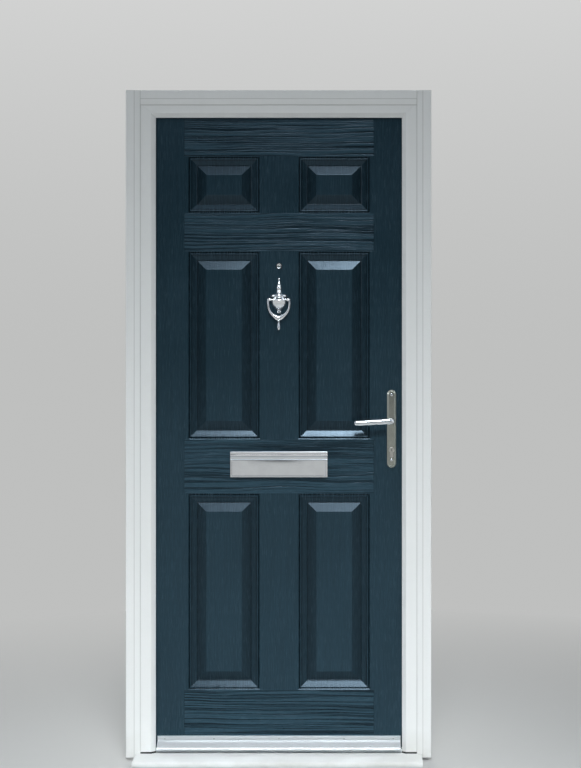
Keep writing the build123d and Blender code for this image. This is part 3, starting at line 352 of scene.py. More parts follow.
def skin_material(name, colour, gloss_tint, depth, roughness, shadow, contrast):
    """Glass-reinforced plastic with an embossed grain that turns at the joints of stiles and rails."""
    made, shader, place = new_material(name, colour, roughness, IOR=1.5, Specular_Tint=gloss_tint)
    along, across, seam, level = grain_directions(place)
    grain = shared(place.tree, wood_grain_group, {"Along": along, "Across": across, "Seed": level * 7.3})
    patch = weathering(place, 2.2)["Patch"]
    groove_shade = value(place.tree, "ShaderNodeAttribute", output="Fac", attribute_name="groove_shade")
    # The grain's paler and darker lines are partly its own tone and partly painted light and shade of the
    # embossed ridges; the white added to the paler lines is a painted highlight
    lighter = [min(1.0, c * contrast + 0.014 * (contrast - 1)) for c in colour]
    darker = [c / contrast for c in colour]
    share = level.mapped(0.0, 1.0, 0.16, 1.0)
    shade = blend((grain["Height"] - 0.35) * share + 0.45, darker, lighter)
    shade = blend(patch * 0.2, shade, lighter)
    shade = blend(seam * 0.6, shade, darker)
    # Painted shade: the moulding's grooves and slopes are darkened by the per-vertex attribute, scaled by the
    # shadow share
    shade = blend(groove_shade * shadow, shade, [c * 0.2 for c in colour])
    gloss = patch.mapped(0.0, 1.0, roughness - 0.05, roughness + 0.05) + grain["Pores"] * 0.12
    # Painted shade also lowers the gloss in the grooves
    shine = groove_shade.mapped(0.0, 1.0, 0.5, 0.5 - 0.1 * shadow)
    relief = grain["Height"] * share - seam * 1.2
    dress(shader, relief, depth, Base_Color=shade, Roughness=gloss, Specular_IOR_Level=shine)
    return made


def trim_joints():
    """Where painted shade lines mark the joints of cover trims and frame: beside the leaf and over it."""
    moulding = 19.0
    inner = node_range("right_trim")[0].x
    base = node_range("head_trim")[0].z
    return ("x", inner), ("x", inner + moulding), ("z", base), ("z", base + moulding)


def joint_lines(place, joints):
    """Thin painted shade lines at the joints on the outside, where those over the leaf end at the side trims.
    """
    x, y, z = split(place)
    beside = abs(x)
    lines = None
    for axis, at in joints:
        away = abs((beside if axis == "x" else z) - at * MM)
        line = away.mapped(0.0006, 0.0016, 1.0, 0.0)
        if axis == "z":
            line = line * beside.below(joints[0][1] * MM)
        lines = line if lines is None else maths(place.tree, "MAXIMUM", lines, line)
    return lines * y.below(0.004)


def plastic_material(name, colour, dirt, grime_height=0.0, joints=()):
    """White window plastic, satin, with faint streaks, some grime low down and painted shade lines at its
    joints.
    """
    made, shader, place = new_material(name, colour, 0.34, Specular_IOR_Level=0.45)
    cover = weathering(place, 4.0, 420.0)
    dull = (colour[0] * 0.90, colour[1] * 0.905, colour[2] * 0.89)
    shade = blend(cover["Patch"] * dirt, colour, dull)
    shade = blend(cover["Streak"] * (dirt * 0.4), shade, dull)
    shade = blend(cover["Speck"] * (dirt * 0.35), shade, GRIME)
    if grime_height:
        low = split(place)[2].mapped(0.0, grime_height, 1.0, 0.0) * cover["Patch"].mapped(0.2, 0.9)
        shade = blend(low * 0.45, shade, GRIME)
    if joints:
        # Painted shade: thin dark lines where the trims meet the frame
        shade = blend(joint_lines(place, joints) * 0.42, shade, JOINT_SHADE)
    gloss = cover["Patch"].mapped(0.0, 1.0, 0.28, 0.42)
    dress(shader, noise(place, 90.0, 4.0), 0.00012, 0.5, Base_Color=shade, Roughness=gloss)
    return made


def metal_material(name, colour, roughness, stretch=None, depth=0.00003, smudge=0.08):
    """Bare or plated metal, drawn along a stretch where one is given."""
    made, shader, place = new_material(name, colour, roughness, Metallic=1.0)
    cover = weathering(place, 26.0, 500.0)
    darker = [c * 0.78 for c in colour]
    shade = blend(cover["Patch"] * 0.25, colour, darker)
    gloss = cover["Patch"].mapped(0.0, 1.0, roughness, roughness + smudge) + cover["Speck"] * smudge
    if stretch:
        drawn = shared(place.tree, brushed_group, {"Vector": place, "Stretch": stretch})
        shade = blend(drawn["Shade"] * 0.35, shade, darker)
        gloss = gloss + drawn["Shade"] * 0.1
        relief, strength = drawn["Height"], 1.0
    else:
        relief, strength = noise(place, 38.0, 2.0), 0.4
    dress(shader, relief, depth, strength, Base_Color=shade, Roughness=gloss)
    return made


def rubber_material():
    black = (0.014, 0.014, 0.015)
    made, shader, place = new_material("black_rubber", black, 0.62, Specular_IOR_Level=0.3)
    cover = weathering(place, 12.0, 700.0)
    shade = blend(cover["Patch"] * 0.5, black, (0.045, 0.045, 0.043))
    gloss = cover["Speck"].mapped(0.0, 1.0, 0.55, 0.75)
    dress(shader, cover["Speck"], 0.00005, Base_Color=shade, Roughness=gloss)
    return made


def timber_material():
    """Laminated softwood, sealed black along the leaf's outer edges."""
    pale, dark = (0.52, 0.35, 0.19), (0.32, 0.18, 0.085)
    made, shader, place = new_material("laminated_timber", pale, 0.6, Specular_IOR_Level=0.3)
    x, y, z = split(place)
    grain = shared(place.tree, wood_grain_group, {"Along": z, "Across": y, "Line Density": 260.0})
    inputs = {"Vector": place, "Scale": 52.0, "Distortion": 0.3}
    ply = value(place.tree, "ShaderNodeTexWave", inputs, "Fac", bands_direction="Y")
    shade = blend(grain["Height"], dark, pale)
    shade = blend(ply.mapped(0.92, 1.0, 0.0, 0.7), shade, dark)
    shade = blend(abs(x).above((SKIN_HIGH.x - 0.4) * MM), shade, BLACK_SEALER)
    dress(shader, grain["Height"], 0.0002, Base_Color=shade)
    return made


def foam_material():
    pale, dark = (0.66, 0.55, 0.28), (0.44, 0.34, 0.15)
    made, shader, place = new_material("rigid_foam", pale, 0.9, Specular_IOR_Level=0.2)
    cells = value(place.tree, "ShaderNodeTexVoronoi", {"Vector": place, "Scale": 900.0}, "Distance")
    dress(shader, cells, 0.0004, Base_Color=blend(cells.mapped(0.0, 0.7), dark, pale))
    return made


def moulded_black_material():
    made, shader, place = new_material("black_moulding", (0.02, 0.02, 0.021), 0.45, Specular_IOR_Level=0.4)
    pitted = noise(place, 1400.0)
    shade = blend(pitted.mapped(0.3, 0.8), (0.016, 0.016, 0.017), (0.032, 0.032, 0.033))
    dress(shader, pitted, 0.00006, Base_Color=shade, Roughness=pitted.mapped(0.3, 0.7, 0.38, 0.52))
    return made


def glass_material():
    made, shader, place = new_material(
        "lens_glass", (0.93, 0.97, 0.98), 0.02, IOR=1.5, Transmission_Weight=1.0
    )
    dress(shader, Roughness=noise(place, 300.0, 2.0).mapped(0.4, 0.8, 0.01, 0.06))
    return made


def finish_recipe(name):
    """A finish's slot name, the function that makes it and what that function is given."""
    f = bpy.context.scene.door_finishes
    return {
        "skin": ("skin_dark", skin_material, "anthracite_skin", f.skin, COOL_GLOSS,
                 0.00026, 0.21, 0.80, 2.7),
        "inner_skin": ("skin_white", skin_material, "white_skin", f.inner_skin, NEUTRAL_GLOSS,
                       0.00024, 0.40, 0.12, 1.06),
        "plastic": ("upvc_white", plastic_material, "white_plastic", f.plastic, 0.3, 0.10, trim_joints()),
        "cill": ("upvc_white", plastic_material, "cill_plastic", f.plastic, 0.5, 0.03),
        "powder": ("hinge_white", plastic_material, "white_powder_coat", (0.80, 0.81, 0.80), 0.2),
        "chrome": ("chrome", metal_material, "polished_chrome", f.chrome, 0.05, None, 0.000008, 0.04),
        "knocker_chrome": ("chrome", metal_material, "bright_chrome", (0.94, 0.97, 1.0), 0.11,
                           None, 0.00002, 0.05),
        # Painted reflection: the backplates' chrome is given a darker, greenish colour that stands in for the
        # dark surroundings it reflects
        "plate_chrome": ("chrome", metal_material, "plate_chrome", (0.42, 0.44, 0.40), 0.07,
                         None, 0.00006),
        "dark_chrome": ("chrome", metal_material, "dark_chrome", (0.07, 0.075, 0.08), 0.16,
                        None, 0.00002),
        "satin": ("chrome", metal_material, "satin_nickel", (0.62, 0.60, 0.56), 0.24,
                  (900.0, 900.0, 12.0)),
        "aluminium": ("aluminium", metal_material, "drawn_aluminium", f.aluminium, 0.26,
                      (2.0, 700.0, 700.0)),
        "zinc": ("steel", metal_material, "zinc_plate", (0.55, 0.56, 0.57), 0.30,
                 (500.0, 500.0, 5.0)),
        "rubber": ("rubber_black", rubber_material),
        "black": ("rubber_black", moulded_black_material),
        "timber": ("timber", timber_material),
        "foam": ("foam", foam_material),
        "glass": ("lens_glass", glass_material),
    }[name]


def finish_of(name):
    return once(name, *finish_recipe(name)[1:])


# Mesh helpers. New shells are in millimetres, copies of CAD nodes in metres.


def join_rings(shell, first, second):
    """Faces between two rings of equally many points."""
    for i, vert in enumerate(first):
        j = (i + 1) % len(first)
        shell.faces.new((vert, first[j], second[j], second[i]))


def loft(loops, closed=False):
    """A shell through loops of equally many points, with flat ends unless it closes on itself."""
    shell = bmesh.new()
    rows = [[shell.verts.new(point) for point in loop] for loop in loops]
    for first, second in zip(rows, rows[1:]):
        join_rings(shell, first, second)
    if closed:
        join_rings(shell, rows[-1], rows[0])
    else:
        shell.faces.new(list(reversed(rows[0])))
        shell.faces.new(rows[-1])
    bmesh.ops.remove_doubles(shell, verts=shell.verts, dist=1e-5)
    bmesh.ops.recalc_face_normals(shell, faces=shell.faces)
    return shell


def rectangle(x, z, inset=0.0):
    x0, x1, z0, z1 = x[0] + inset, x[1] - inset, z[0] + inset, z[1] - inset
    return [(x0, z0), (x1, z0), (x1, z1), (x0, z1)]


def circle(x, z, radius, steps=40):
    turns = [2 * math.pi * i / steps for i in range(steps)]
    return [(x + radius * math.cos(t), z + radius * math.sin(t)) for t in turns]


def lathe(profile, origin, axis="Y", steps=None, closed=False):
    """A turned shell: its profile is a list of (radius, distance along the axis)."""
    turn = "XYZ".index(axis)
    loops = []
    for radius, along in profile:
        loop = []
        for a, b in circle(0.0, 0.0, radius, steps or sizes().lathe_steps):
            offset = (along, a, b)
            loop.append(Vector(origin) + Vector(offset[-turn:] + offset[:-turn]))
        loops.append(loop)
    return loft(loops, closed)


def tube(profile, origin, axis="Y", steps=None):
    """A turned ring whose profile closes on itself."""
    return lathe(profile, origin, axis, steps, closed=True)


def soft_box(x, y, z, edge, steps):
    """A box between two values on each axis, with rounded edges."""
    shell = bmesh.new()
    bmesh.ops.create_cube(shell, size=1.0)
    centre = Vector((sum(x) / 2, sum(y) / 2, sum(z) / 2))
    for vert in shell.verts:
        part = (vert.co.x * (x[1] - x[0]), vert.co.y * (y[1] - y[0]), vert.co.z * (z[1] - z[0]))
        vert.co = centre + Vector(part)
    bmesh.ops.bevel(
        shell, geom=shell.edges[:], offset=edge, segments=steps, profile=0.5, affect="EDGES"
    )
    return shell


def section_bar(points, x, edge):
    """A bar along X with a section of (y, z) points and slightly smaller ends."""
    centre = Vector((sum(p[0] for p in points) / len(points), sum(p[1] for p in points) / len(points)))

    def loop(at, shrink):
        made = []
        for p in points:
            inward = centre - Vector(p)
            inward = inward.normalized() * min(shrink, inward.length / 2)
            made.append(Vector((at, p[0] + inward.x, p[1] + inward.y)))
        return made

    return loft([loop(x[0], edge), loop(x[0] + edge, 0), loop(x[1] - edge, 0), loop(x[1], edge)])


def mirrored(shell):
    """The same shell on the other side of the leaf."""
    for vert in shell.verts:
        vert.co.y = 2 * MIDDLE - vert.co.y
    bmesh.ops.reverse_faces(shell, faces=shell.faces)
    return shell


def on_side(side, shells):
    return [mirrored(shell) for shell in shells] if side == "inner" else shells


def shade_smooth(mesh, crease):
    """Smooth shading that leaves wide faces flat beside narrow roundings."""
    mesh.polygons.foreach_set("use_smooth", [True] * len(mesh.polygons))
    mesh.set_sharp_from_angle(angle=math.radians(crease))
    facing = [face.normal.copy() for face in mesh.polygons]
    weight = [face.normal * face.area for face in mesh.polygons]
    corners = [(face.index, vert) for face in mesh.polygons for vert in face.vertices]
    around = [[] for _ in mesh.vertices]
    for index, vert in corners:
        around[vert].append(index)
    limit = math.cos(math.radians(crease))
    normals = []
    for index, vert in corners:
        near = [weight[other] for other in around[vert] if facing[other].dot(facing[index]) > limit]
        normals.append(sum(near, Vector()).normalized() if near else facing[index])
    mesh.normals_split_custom_set(normals)
    mesh.update()


def add_mesh(name, mesh, body, finish, replaced=()):
    """Puts a mesh in the scene as a finished piece that rides on its body."""
    piece = bpy.data.objects.new(name, mesh)
    bpy.context.scene.collection.objects.link(piece)
    mesh.materials.clear()
    mesh.materials.append(finish_of(finish))
    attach(piece, body)
    if replaced:
        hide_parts(*replaced)


def add_piece(name, shells, body, finish, *replaced, crease=38.0):
    """A piece of one or more shells, smooth except at its creases."""
    whole = bmesh.new()
    for shell in shells:
        part = bpy.data.meshes.new("part")
        shell.to_mesh(part)
        shell.free()
        whole.from_mesh(part)
        bpy.data.meshes.remove(part)
    for vert in whole.verts:
        vert.co *= MM
    mesh = bpy.data.meshes.new(name)
    whole.to_mesh(mesh)
    whole.free()
    shade_smooth(mesh, crease)
    add_mesh(name, mesh, body, finish, replaced)


def repaint(finish, *names):
    """Gives CAD nodes that are shown as they are one of the finishes."""
    for name in names:
        materials = nodes[name].data.materials
        materials.clear()
        materials.append(finish_of(finish))


def merged_copy(node):
    """A copy of a CAD node's triangles, in metres, joined where they meet."""
    shell = bmesh.new()
    shell.from_mesh(nodes[node].data)
    bmesh.ops.remove_doubles(shell, verts=shell.verts, dist=2e-6)
    return shell


def dissolve_flat(shell):
    bmesh.ops.dissolve_limit(
        shell, angle_limit=math.radians(0.4), verts=shell.verts, edges=shell.edges
    )


def bevel_sharp(shell, angle, offset, segments=2, clamp=False, chosen=None):
    """Bevels the edges that turn by more than an angle, by an offset in millimetres."""
    sharp = [
        edge for edge in shell.edges
        if edge.is_manifold and edge.calc_face_angle(0.0) > math.radians(angle)
        and (chosen is None or chosen(edge))
    ]
    bmesh.ops.bevel(
        shell, geom=sharp, offset=offset * MM, segments=segments, profile=0.5, affect="EDGES",
        clamp_overlap=clamp,
    )


def add_copy(name, shell, body, finish, node, crease=40.0):
    """A piece of a changed copy of a CAD node, which it replaces."""
    mesh = bpy.data.meshes.new(name)
    shell.to_mesh(mesh)
    shell.free()
    if "custom_normal" in mesh.attributes:
        mesh.attributes.remove(mesh.attributes["custom_normal"])
    shade_smooth(mesh, crease)
    add_mesh(name, mesh, body, finish, (node,))


def rounded_copy(node, body, finish, edge, name=None, crease=25.0):
    """A copy of a CAD node with its sharp edges rounded."""
    shell = merged_copy(node)
    dissolve_flat(shell)
    bevel_sharp(shell, crease, edge)
    add_copy(name or f"soft_{node}", shell, body, finish, node)


def solid_boxes(node):
    """The box of each separate solid of a CAD node, in millimetres."""
    shell = merged_copy(node)
    found, seen = [], set()
    for start in shell.verts:
        if start.index in seen:
            continue
        stack, island = [start], []
        seen.add(start.index)
        while stack:
            vert = stack.pop()
            island.append(vert.co / MM)
            for edge in vert.link_edges:
                other = edge.other_vert(vert)
                if other.index not in seen:
                    seen.add(other.index)
                    stack.append(other)
        found.append([Vector([pick(p[i] for p in island) for i in range(3)]) for pick in (min, max)])
    shell.free()
    return found


# Screws and bolts

FACINGS = {
    "outside": (math.pi / 2, 0.0, 0.0),
    "inside": (-math.pi / 2, 0.0, 0.0),
    "left": (0.0, -math.pi / 2, 0.0),
    "right": (0.0, math.pi / 2, 0.0),
}
# Width of a recess's bar, as a share of its length
RECESS_WIDTH = 0.24


def fastener_tree():
    """Geometry nodes that set a turned head with a cross recess at each point, facing outwards."""
    lengths = "Head Radius", "Head Height", "Shank Radius", "Shank Length", "Recess Length", "Recess Width"
    tree, given, out = new_group(
        "Fastener Heads",
        [
            ("Geometry", "Geometry", None), *((label, "Float", None) for label in lengths),
            ("Facing", "Rotation", None), ("Finish", "Material", None),
        ],
        [("Geometry", "Geometry")],
        "GeometryNodeTree",
    )
    radius, height = given["Head Radius"], given["Head Height"]

    def moved(shape, **inputs):
        return value(tree, "GeometryNodeTransform", {"Geometry": shape, **inputs})

    def boolean(operation, shape, *others):
        inputs = {} if shape is None else {"Mesh 1": shape}
        made = put(tree, "GeometryNodeMeshBoolean", inputs, operation=operation)
        for other in others:
            feed(made.inputs["Mesh 2"], other)
        return Value(made.outputs[0])

    ball = value(tree, "GeometryNodeMeshUVSphere", {"Segments": 32, "Rings": 16, "Radius": radius})
    dome = moved(ball, Scale=vector(tree, 1.0, 1.0, height / radius))
    wide = radius * 4.0
    block = value(tree, "GeometryNodeMeshCube", {"Size": vector(tree, wide, wide, height * 4.0)})
    head = boolean("DIFFERENCE", dome, moved(block, Translation=vector(tree, z=height * -2.0)))
    bars = []
    for turn in (0.0, math.pi / 2):
        size = vector(tree, given["Recess Length"], given["Recess Width"], height)
        bar = value(tree, "GeometryNodeMeshCube", {"Size": size})
        bars.append(moved(bar, Translation=vector(tree, z=height), Rotation=(0.0, 0.0, turn)))
    head = boolean("DIFFERENCE", head, boolean("UNION", None, *bars))
    length = given["Shank Length"]
    shank = value(tree, "GeometryNodeMeshCylinder", {
        "Vertices": 20, "Radius": given["Shank Radius"], "Depth": length,
    })
    whole = tree.nodes.new("GeometryNodeJoinGeometry")
    for shape in (moved(shank, Translation=vector(tree, z=length * -0.5)), head):
        feed(whole.inputs[0], shape)
    placed = value(tree, "GeometryNodeInstanceOnPoints", {
        "Points": given["Geometry"], "Instance": Value(whole.outputs[0]), "Rotation": given["Facing"],
    })
    real = value(tree, "GeometryNodeRealizeInstances", {"Geometry": placed})
    painted = value(tree, "GeometryNodeSetMaterial", {"Geometry": real, "Material": given["Finish"]})
    feed(out[0], painted)
    return tree


def grown_mesh(name, points, tree, inputs):
    """The mesh that a geometry tree makes at points, with its named inputs set."""
    base = bpy.data.meshes.new("points")
    base.from_pydata([Vector(point) * MM for point in points], [], [])
    holder = bpy.data.objects.new("holder", base)
    bpy.context.scene.collection.objects.link(holder)
    modifier = holder.modifiers.new("Grow", "NODES")
    modifier.node_group = tree
    for item in tree.interface.items_tree:
        if item.in_out == "INPUT" and item.name in inputs:
            modifier[item.identifier] = inputs[item.name]
    evaluated = holder.evaluated_get(bpy.context.evaluated_depsgraph_get())
    mesh = bpy.data.meshes.new_from_object(evaluated)
    mesh.name = name
    bpy.data.objects.remove(holder)
    bpy.data.meshes.remove(base)
    return mesh


def fasteners(name, points, facing, head, shank, recess, body, *replaced, finish="zinc", slot="steel"):
    """A set of like screws: head is (radius, height), shank (radius, length), in millimetres."""
    mesh = grown_mesh(name, points, once("fasteners", fastener_tree), {
        "Head Radius": head[0] * MM,
        "Head Height": head[1] * MM,
        "Shank Radius": shank[0] * MM,
        "Shank Length": shank[1] * MM,
        "Recess Length": recess * MM,
        "Recess Width": recess * RECESS_WIDTH * MM,
        "Facing": FACINGS[facing],
        "Finish": finish_of(finish),
    })
    shade_smooth(mesh, 30.0)
    add_mesh(name, mesh, body, finish, replaced)


# The leaf

# The panels' moulding from its outer edge inwards: distance, depth, and how much painted shade darkens it
# there
SLOPE_STEPS = 6
MOULDING = [
    (0.0, 0.0, 0.0), (0.3, 0.06, 0.0), (2.0, 0.75, 0.0), (3.6, 3.2, 1.0), (4.2, 3.5, 1.0),
    (4.8, 3.2, 0.95), (7.3, 1.1, 0.7), (7.9, 0.62, 0.0), (8.9, 0.45, 0.0), (9.6, 0.62, 0.2),
    (10.6, 1.05, 0.9),
    *[
        (10.6 + 16.4 * (i / SLOPE_STEPS), 1.05 + 6.15 * (i / SLOPE_STEPS), 0.9 if i == 1 else 0.5)
        for i in range(1, SLOPE_STEPS + 1)
    ],
    (28.0, 8.0, 0.6), (29.0, 9.05, 0.75), (29.6, 9.35, 1.0), (30.3, 9.5, 1.0), (31.0, 9.42, 1.0),
    (31.8, 9.15, 0.8), (45.0, 5.32, 0.66), (57.6, 1.66, 0.55), (58.8, 1.28, 0.2), (60.0, 1.04, 0.0),
    (61.2, 1.0, 0.0),
]
# Radii of the holes through the skins
SPINDLE_HOLE, VIEWER_HOLE = 10.0, 7.1


def panelled_sheet(thickness=2.0):
    """A skin: a flat sheet with six moulded panels, a letter slot and holes for the fittings."""
    s = sizes()
    shell = bmesh.new()
    groove_shade = shell.verts.layers.float.new("groove_shade")

    def ring(points, y):
        return [shell.verts.new((x, y, z)) for x, z in points]

    slot_low, slot_high = node_range("letterplate_sleeve")
    spindle_x, _, spindle_z = middle_of(*node_range("lock_hub"))
    viewer_z = middle_of(*node_range("viewer_outer_tube"))[2]
    outlines = [
        rectangle((SKIN_LOW.x, SKIN_HIGH.x), (SKIN_LOW.z, SKIN_HIGH.z)),
        rectangle((slot_low.x, slot_high.x), (slot_low.z, slot_high.z), -0.2),
        circle(spindle_x, spindle_z, SPINDLE_HOLE),
        circle(0.0, viewer_z, VIEWER_HOLE),
    ]
    panels = []
    for side in (-1, 1):
        near, far = side * s.muntin / 2, side * (s.muntin / 2 + s.panel_width)
        panels += [(sorted((near, far)), (base, base + height)) for base, height in panel_spans()]
    walls = []
    for depth in (0.0, thickness):
        borders = [ring(points, FACE + depth) for points in outlines]
        walls.append(list(borders))
        for x, z in panels:
            rows = []
            # Each moulding step's painted shade is stored on its vertices
            for inset, down, lost in MOULDING:
                rows.append(ring(rectangle(x, z, inset), FACE + down + depth))
                for vert in rows[-1]:
                    vert[groove_shade] = lost
            for first, second in zip(rows, rows[1:]):
                join_rings(shell, first, second)
            shell.faces.new(rows[-1])
            borders.append(rows[0])
        flat = []
        for border in borders:
            for i, vert in enumerate(border):
                other = border[(i + 1) % len(border)]
                flat.append(shell.edges.get((vert, other)) or shell.edges.new((vert, other)))
        bmesh.ops.triangle_fill(
            shell, use_beauty=True, use_dissolve=False, edges=flat, normal=(0, -1, 0)
        )
    for front, back in zip(*walls):
        join_rings(shell, front, back)
    bmesh.ops.recalc_face_normals(shell, faces=shell.faces)
    return shell


class DOOR_OT_skins(bpy.types.Operator):
    """Build both panelled skins of the leaf"""

    bl_idname = "door.skins"
    bl_label = "Leaf skins"

    def execute(self, context):
        for side, finish in (("outer", "skin"), ("inner", "inner_skin")):
            shells = on_side(side, [panelled_sheet()])
            add_piece(f"moulded_{side}_skin", shells, "leaf", finish, f"{side}_skin", crease=11.5)
        return {"FINISHED"}


class DOOR_OT_core(bpy.types.Operator):
    """Finish the stiles, rails and foam between the skins"""

    bl_idname = "door.core"
    bl_label = "Leaf core"

    def execute(self, context):
        repaint("timber", "hinge_stile", "lock_stile", "top_rail", "bottom_rail")
        repaint("foam", "foam_core")
        repaint("rubber", "bottom_seal")
        return {"FINISHED"}


# The frame and the weather bar


class DOOR_OT_outer_frame(bpy.types.Operator):
    """Build the plastic frame bars, cover trims, cill and threshold"""

    bl_idname = "door.outer_frame"
    bl_label = "Outer frame"

    def execute(self, context):
        edge = sizes().edge
        for node in ("hinge_jamb", "lock_jamb", "head_bar"):
            rounded_copy(node, "frame", "plastic", edge * 0.8)
        for node in ("left_trim", "right_trim", "head_trim"):
            rounded_copy(node, "frame", "plastic", edge * 0.7, crease=5.0)
        for node in ("cill", "cill_end_caps"):
            rounded_copy(node, "frame", "cill", edge * 0.8)
        rounded_copy("threshold", "frame", "aluminium", 0.5)
        repaint("zinc", "frame_reinforcement")
        repaint("rubber", "frame_gasket")
        return {"FINISHED"}


# The weather bar's section: before the leaf's face and below the bar's top
BAR_NOSE = [(0, 0), (4.7, 0), (5.4, 0.7), (5.4, 2.6), (4.6, 3.6), (3.5, 4.5), (3.5, 14.2), (3.9, 15.4)]
# Behind the bar's tip and above its base
BAR_TOE = [(7.0, 11.6), (2.0, 8.0), (0.5, 6.2), (0, 4.6), (0, 0.6), (0.6, 0), (2.2, 0), (2.2, 4.9)]


class DOOR_OT_weather_bar(bpy.types.Operator):
    """Draw the aluminium weather bar and its end caps"""

    bl_idname = "door.weather_bar"
    bl_label = "Weather bar"

    def execute(self, context):
        low, high = node_range("weather_bar")
        outline = [(FACE - before, high.z - below) for before, below in BAR_NOSE]
        outline += [(low.y + behind, low.z + above) for behind, above in BAR_TOE]
        outline += [(FACE - 2.2, high.z - 16.8), (FACE - 2.2, low.z + 2), (FACE, low.z + 2)]
        shells = [section_bar(outline, (low.x, high.x), 0.2)]
        add_piece("drawn_weather_bar", shells, "leaf", "aluminium", "weather_bar", crease=32.0)
        rounded_copy("weather_bar_end_caps", "leaf", "aluminium", 0.5, "soft_bar_caps")
        return {"FINISHED"}


# The knocker. Profiles are (radius, distance from the ring's pivot).

URN = [
    (0.0, 70.0), (1.6, 69.7), (2.8, 68.4), (3.2, 66.8), (2.8, 65.0), (1.8, 63.8), (1.7, 62.4),
    (2.4, 59.0), (3.2, 55.0), (4.6, 50.4), (6.4, 47.0), (7.3, 45.6), (7.3, 44.6), (6.2, 43.9),
    (6.8, 42.4), (7.6, 39.6), (7.7, 37.0), (7.2, 34.0), (6.3, 32.2), (6.2, 31.2), (7.3, 30.2),
    (7.8, 27.5), (8.8, 24.0), (10.6, 20.6), (14.0, 18.0), (20.0, 16.2), (26.5, 15.2), (29.2, 14.4),
    (30.0, 12.4), (29.6, 9.4), (28.0, 8.0), (22.5, 7.4), (21.4, 6.0), (21.4, 1.6), (22.6, 0.6),
    (25.4, -0.4), (26.0, -2.4), (25.2, -4.0), (24.8, -6.0), (24.6, -10.0), (23.2, -15.0),
    (20.6, -20.0), (16.8, -25.0), (12.6, -29.4), (9.0, -32.4), (7.2, -34.6), (7.0, -37.0),
    (7.6, -38.6), (7.4, -40.6), (6.4, -42.0), (5.6, -43.0), (0.0, -43.0),
]
# Number of flutes, their depth as a share of the radius, and where they start and end
FLUTES, FLUTE_DEPTH, FLUTE_TOP, FLUTE_BASE = 9, 0.035, -4.5, -33.0
PIVOT_BAR = [
    (0, -37), (1.6, -36.8), (3.0, -35.8), (3.6, -34.6), (3.0, -33.5), (3.0, 33.5), (3.6, 34.6),
    (3.0, 35.8), (1.6, 36.8), (0, 37),
]
RING_EYE = [(3.06, 26.2), (4.8, 26.2), (5.3, 26.8), (5.45, 29.5), (5.3, 32.4), (4.8, 33.0), (3.06, 33.0)]
RING_DROP = [
    (0.0, -66.0), (4.6, -66.5), (4.9, -68.6), (3.0, -70.4), (2.6, -72.0), (2.9, -76.0), (3.8, -82.0),
    (4.5, -88.0), (4.4, -92.0), (3.4, -95.4), (1.8, -97.4), (0.0, -97.9),
]
# One half of the ring's line: across and up from the pivot, and half its width there
RING_HALF = [
    (33.4, -1.0, 2.8), (34.2, -6.0, 3.0), (34.4, -12.0, 3.1), (34.0, -19.0, 3.1), (32.8, -26.0, 3.2),
    (30.6, -33.0, 3.4), (27.4, -39.5, 3.8), (23.2, -45.0, 4.4), (18.0, -49.8, 5.2), (12.2, -54.2, 6.3),
    (6.2, -58.0, 7.8), (0.0, -60.0, 8.8),
]
RING_HALF_DEPTH = 4.3
# The strike button's front: radius, and distance behind the front
STRIKE = [(0.0, 0.0), (3.4, 0.0), (4.6, 0.5), (5.2, 1.6), (5.2, 5.0), (6.6, 6.2), (7.0, 7.0)]


def half_urn(pivot_z):
    """The front half of the turned urn, with shallow flutes round its bowl."""
    shell = lathe(URN, (0.0, FACE, pivot_z), "Z")
    cut = bmesh.ops.bisect_plane(
        shell, geom=shell.verts[:] + shell.edges[:] + shell.faces[:],
        plane_co=(0, FACE, 0), plane_no=(0, 1, 0), clear_outer=True,
    )
    rim = [e for e in cut["geom_cut"] if isinstance(e, bmesh.types.BMEdge)]
    bmesh.ops.triangle_fill(shell, use_beauty=True, edges=rim)
    bmesh.ops.recalc_face_normals(shell, faces=shell.faces)
    for vert in shell.verts:
        offset = vert.co - Vector((0.0, FACE, pivot_z))
        if FLUTE_BASE < offset.z < FLUTE_TOP and offset.y < -0.01:
            wave = abs(math.sin(FLUTES * math.atan2(offset.x, -offset.y))) - 0.5
            swell = 1.0 + FLUTE_DEPTH * wave * min(1.0, (FLUTE_TOP - offset.z) / 4)
            vert.co.x = offset.x * swell
            vert.co.y = FACE + offset.y * swell
    return shell


def ring_bow(pivot_y, pivot_z):
    """The knocker's ring, an oval section along its line."""
    path = RING_HALF + [(-x, z, half) for x, z, half in reversed(RING_HALF[:-1])]
    loops = []
    for i, (x, z, half) in enumerate(path):
        before, after = path[max(0, i - 1)], path[min(len(path) - 1, i + 1)]
        along = Vector((after[0] - before[0], after[1] - before[1])).normalized()
        across = Vector((along.y, -along.x))
        loop = []
        for c, s in circle(0.0, 0.0, 1.0, 20):
            level = pivot_z + z + across.y * half * c
            loop.append(Vector((x + across.x * half * c, pivot_y + RING_HALF_DEPTH * s, level)))
        loops.append(loop)
    return loft(loops)


class DOOR_OT_knocker(bpy.types.Operator):
    """Build the urn knocker, its hanging ring and its strike button"""

    bl_idname = "door.knocker"
    bl_label = "Knocker"

    def execute(self, context):
        low, high = node_range("knocker_ring")
        pivot = (0.0, (low.y + high.y) / 2, high.z - 5.5)
        shells = [half_urn(pivot[2]), lathe(PIVOT_BAR, pivot, "X", 32)]
        add_piece("turned_knocker_body", shells, "leaf", "knocker_chrome", "knocker_body", crease=34.0)

        shells = [ring_bow(*pivot[1:])]
        for side in (-1, 1):
            shells.append(tube([(radius, side * x) for radius, x in RING_EYE], pivot, "X", 32))
        shells.append(lathe(RING_DROP, pivot, "Z", 32))
        add_piece("cast_knocker_ring", shells, "ring", "knocker_chrome", "knocker_ring", crease=50.0)

        low, high = node_range("knocker_strike")
        strike = [(radius, low.y + behind) for radius, behind in STRIKE] + [(7.0, high.y), (0.0, high.y)]
        button = lathe(strike, (0.0, 0.0, (low.z + high.z) / 2))
        add_piece("strike_button", [button], "leaf", "chrome", "knocker_strike")
        return {"FINISHED"}


# The letterplate

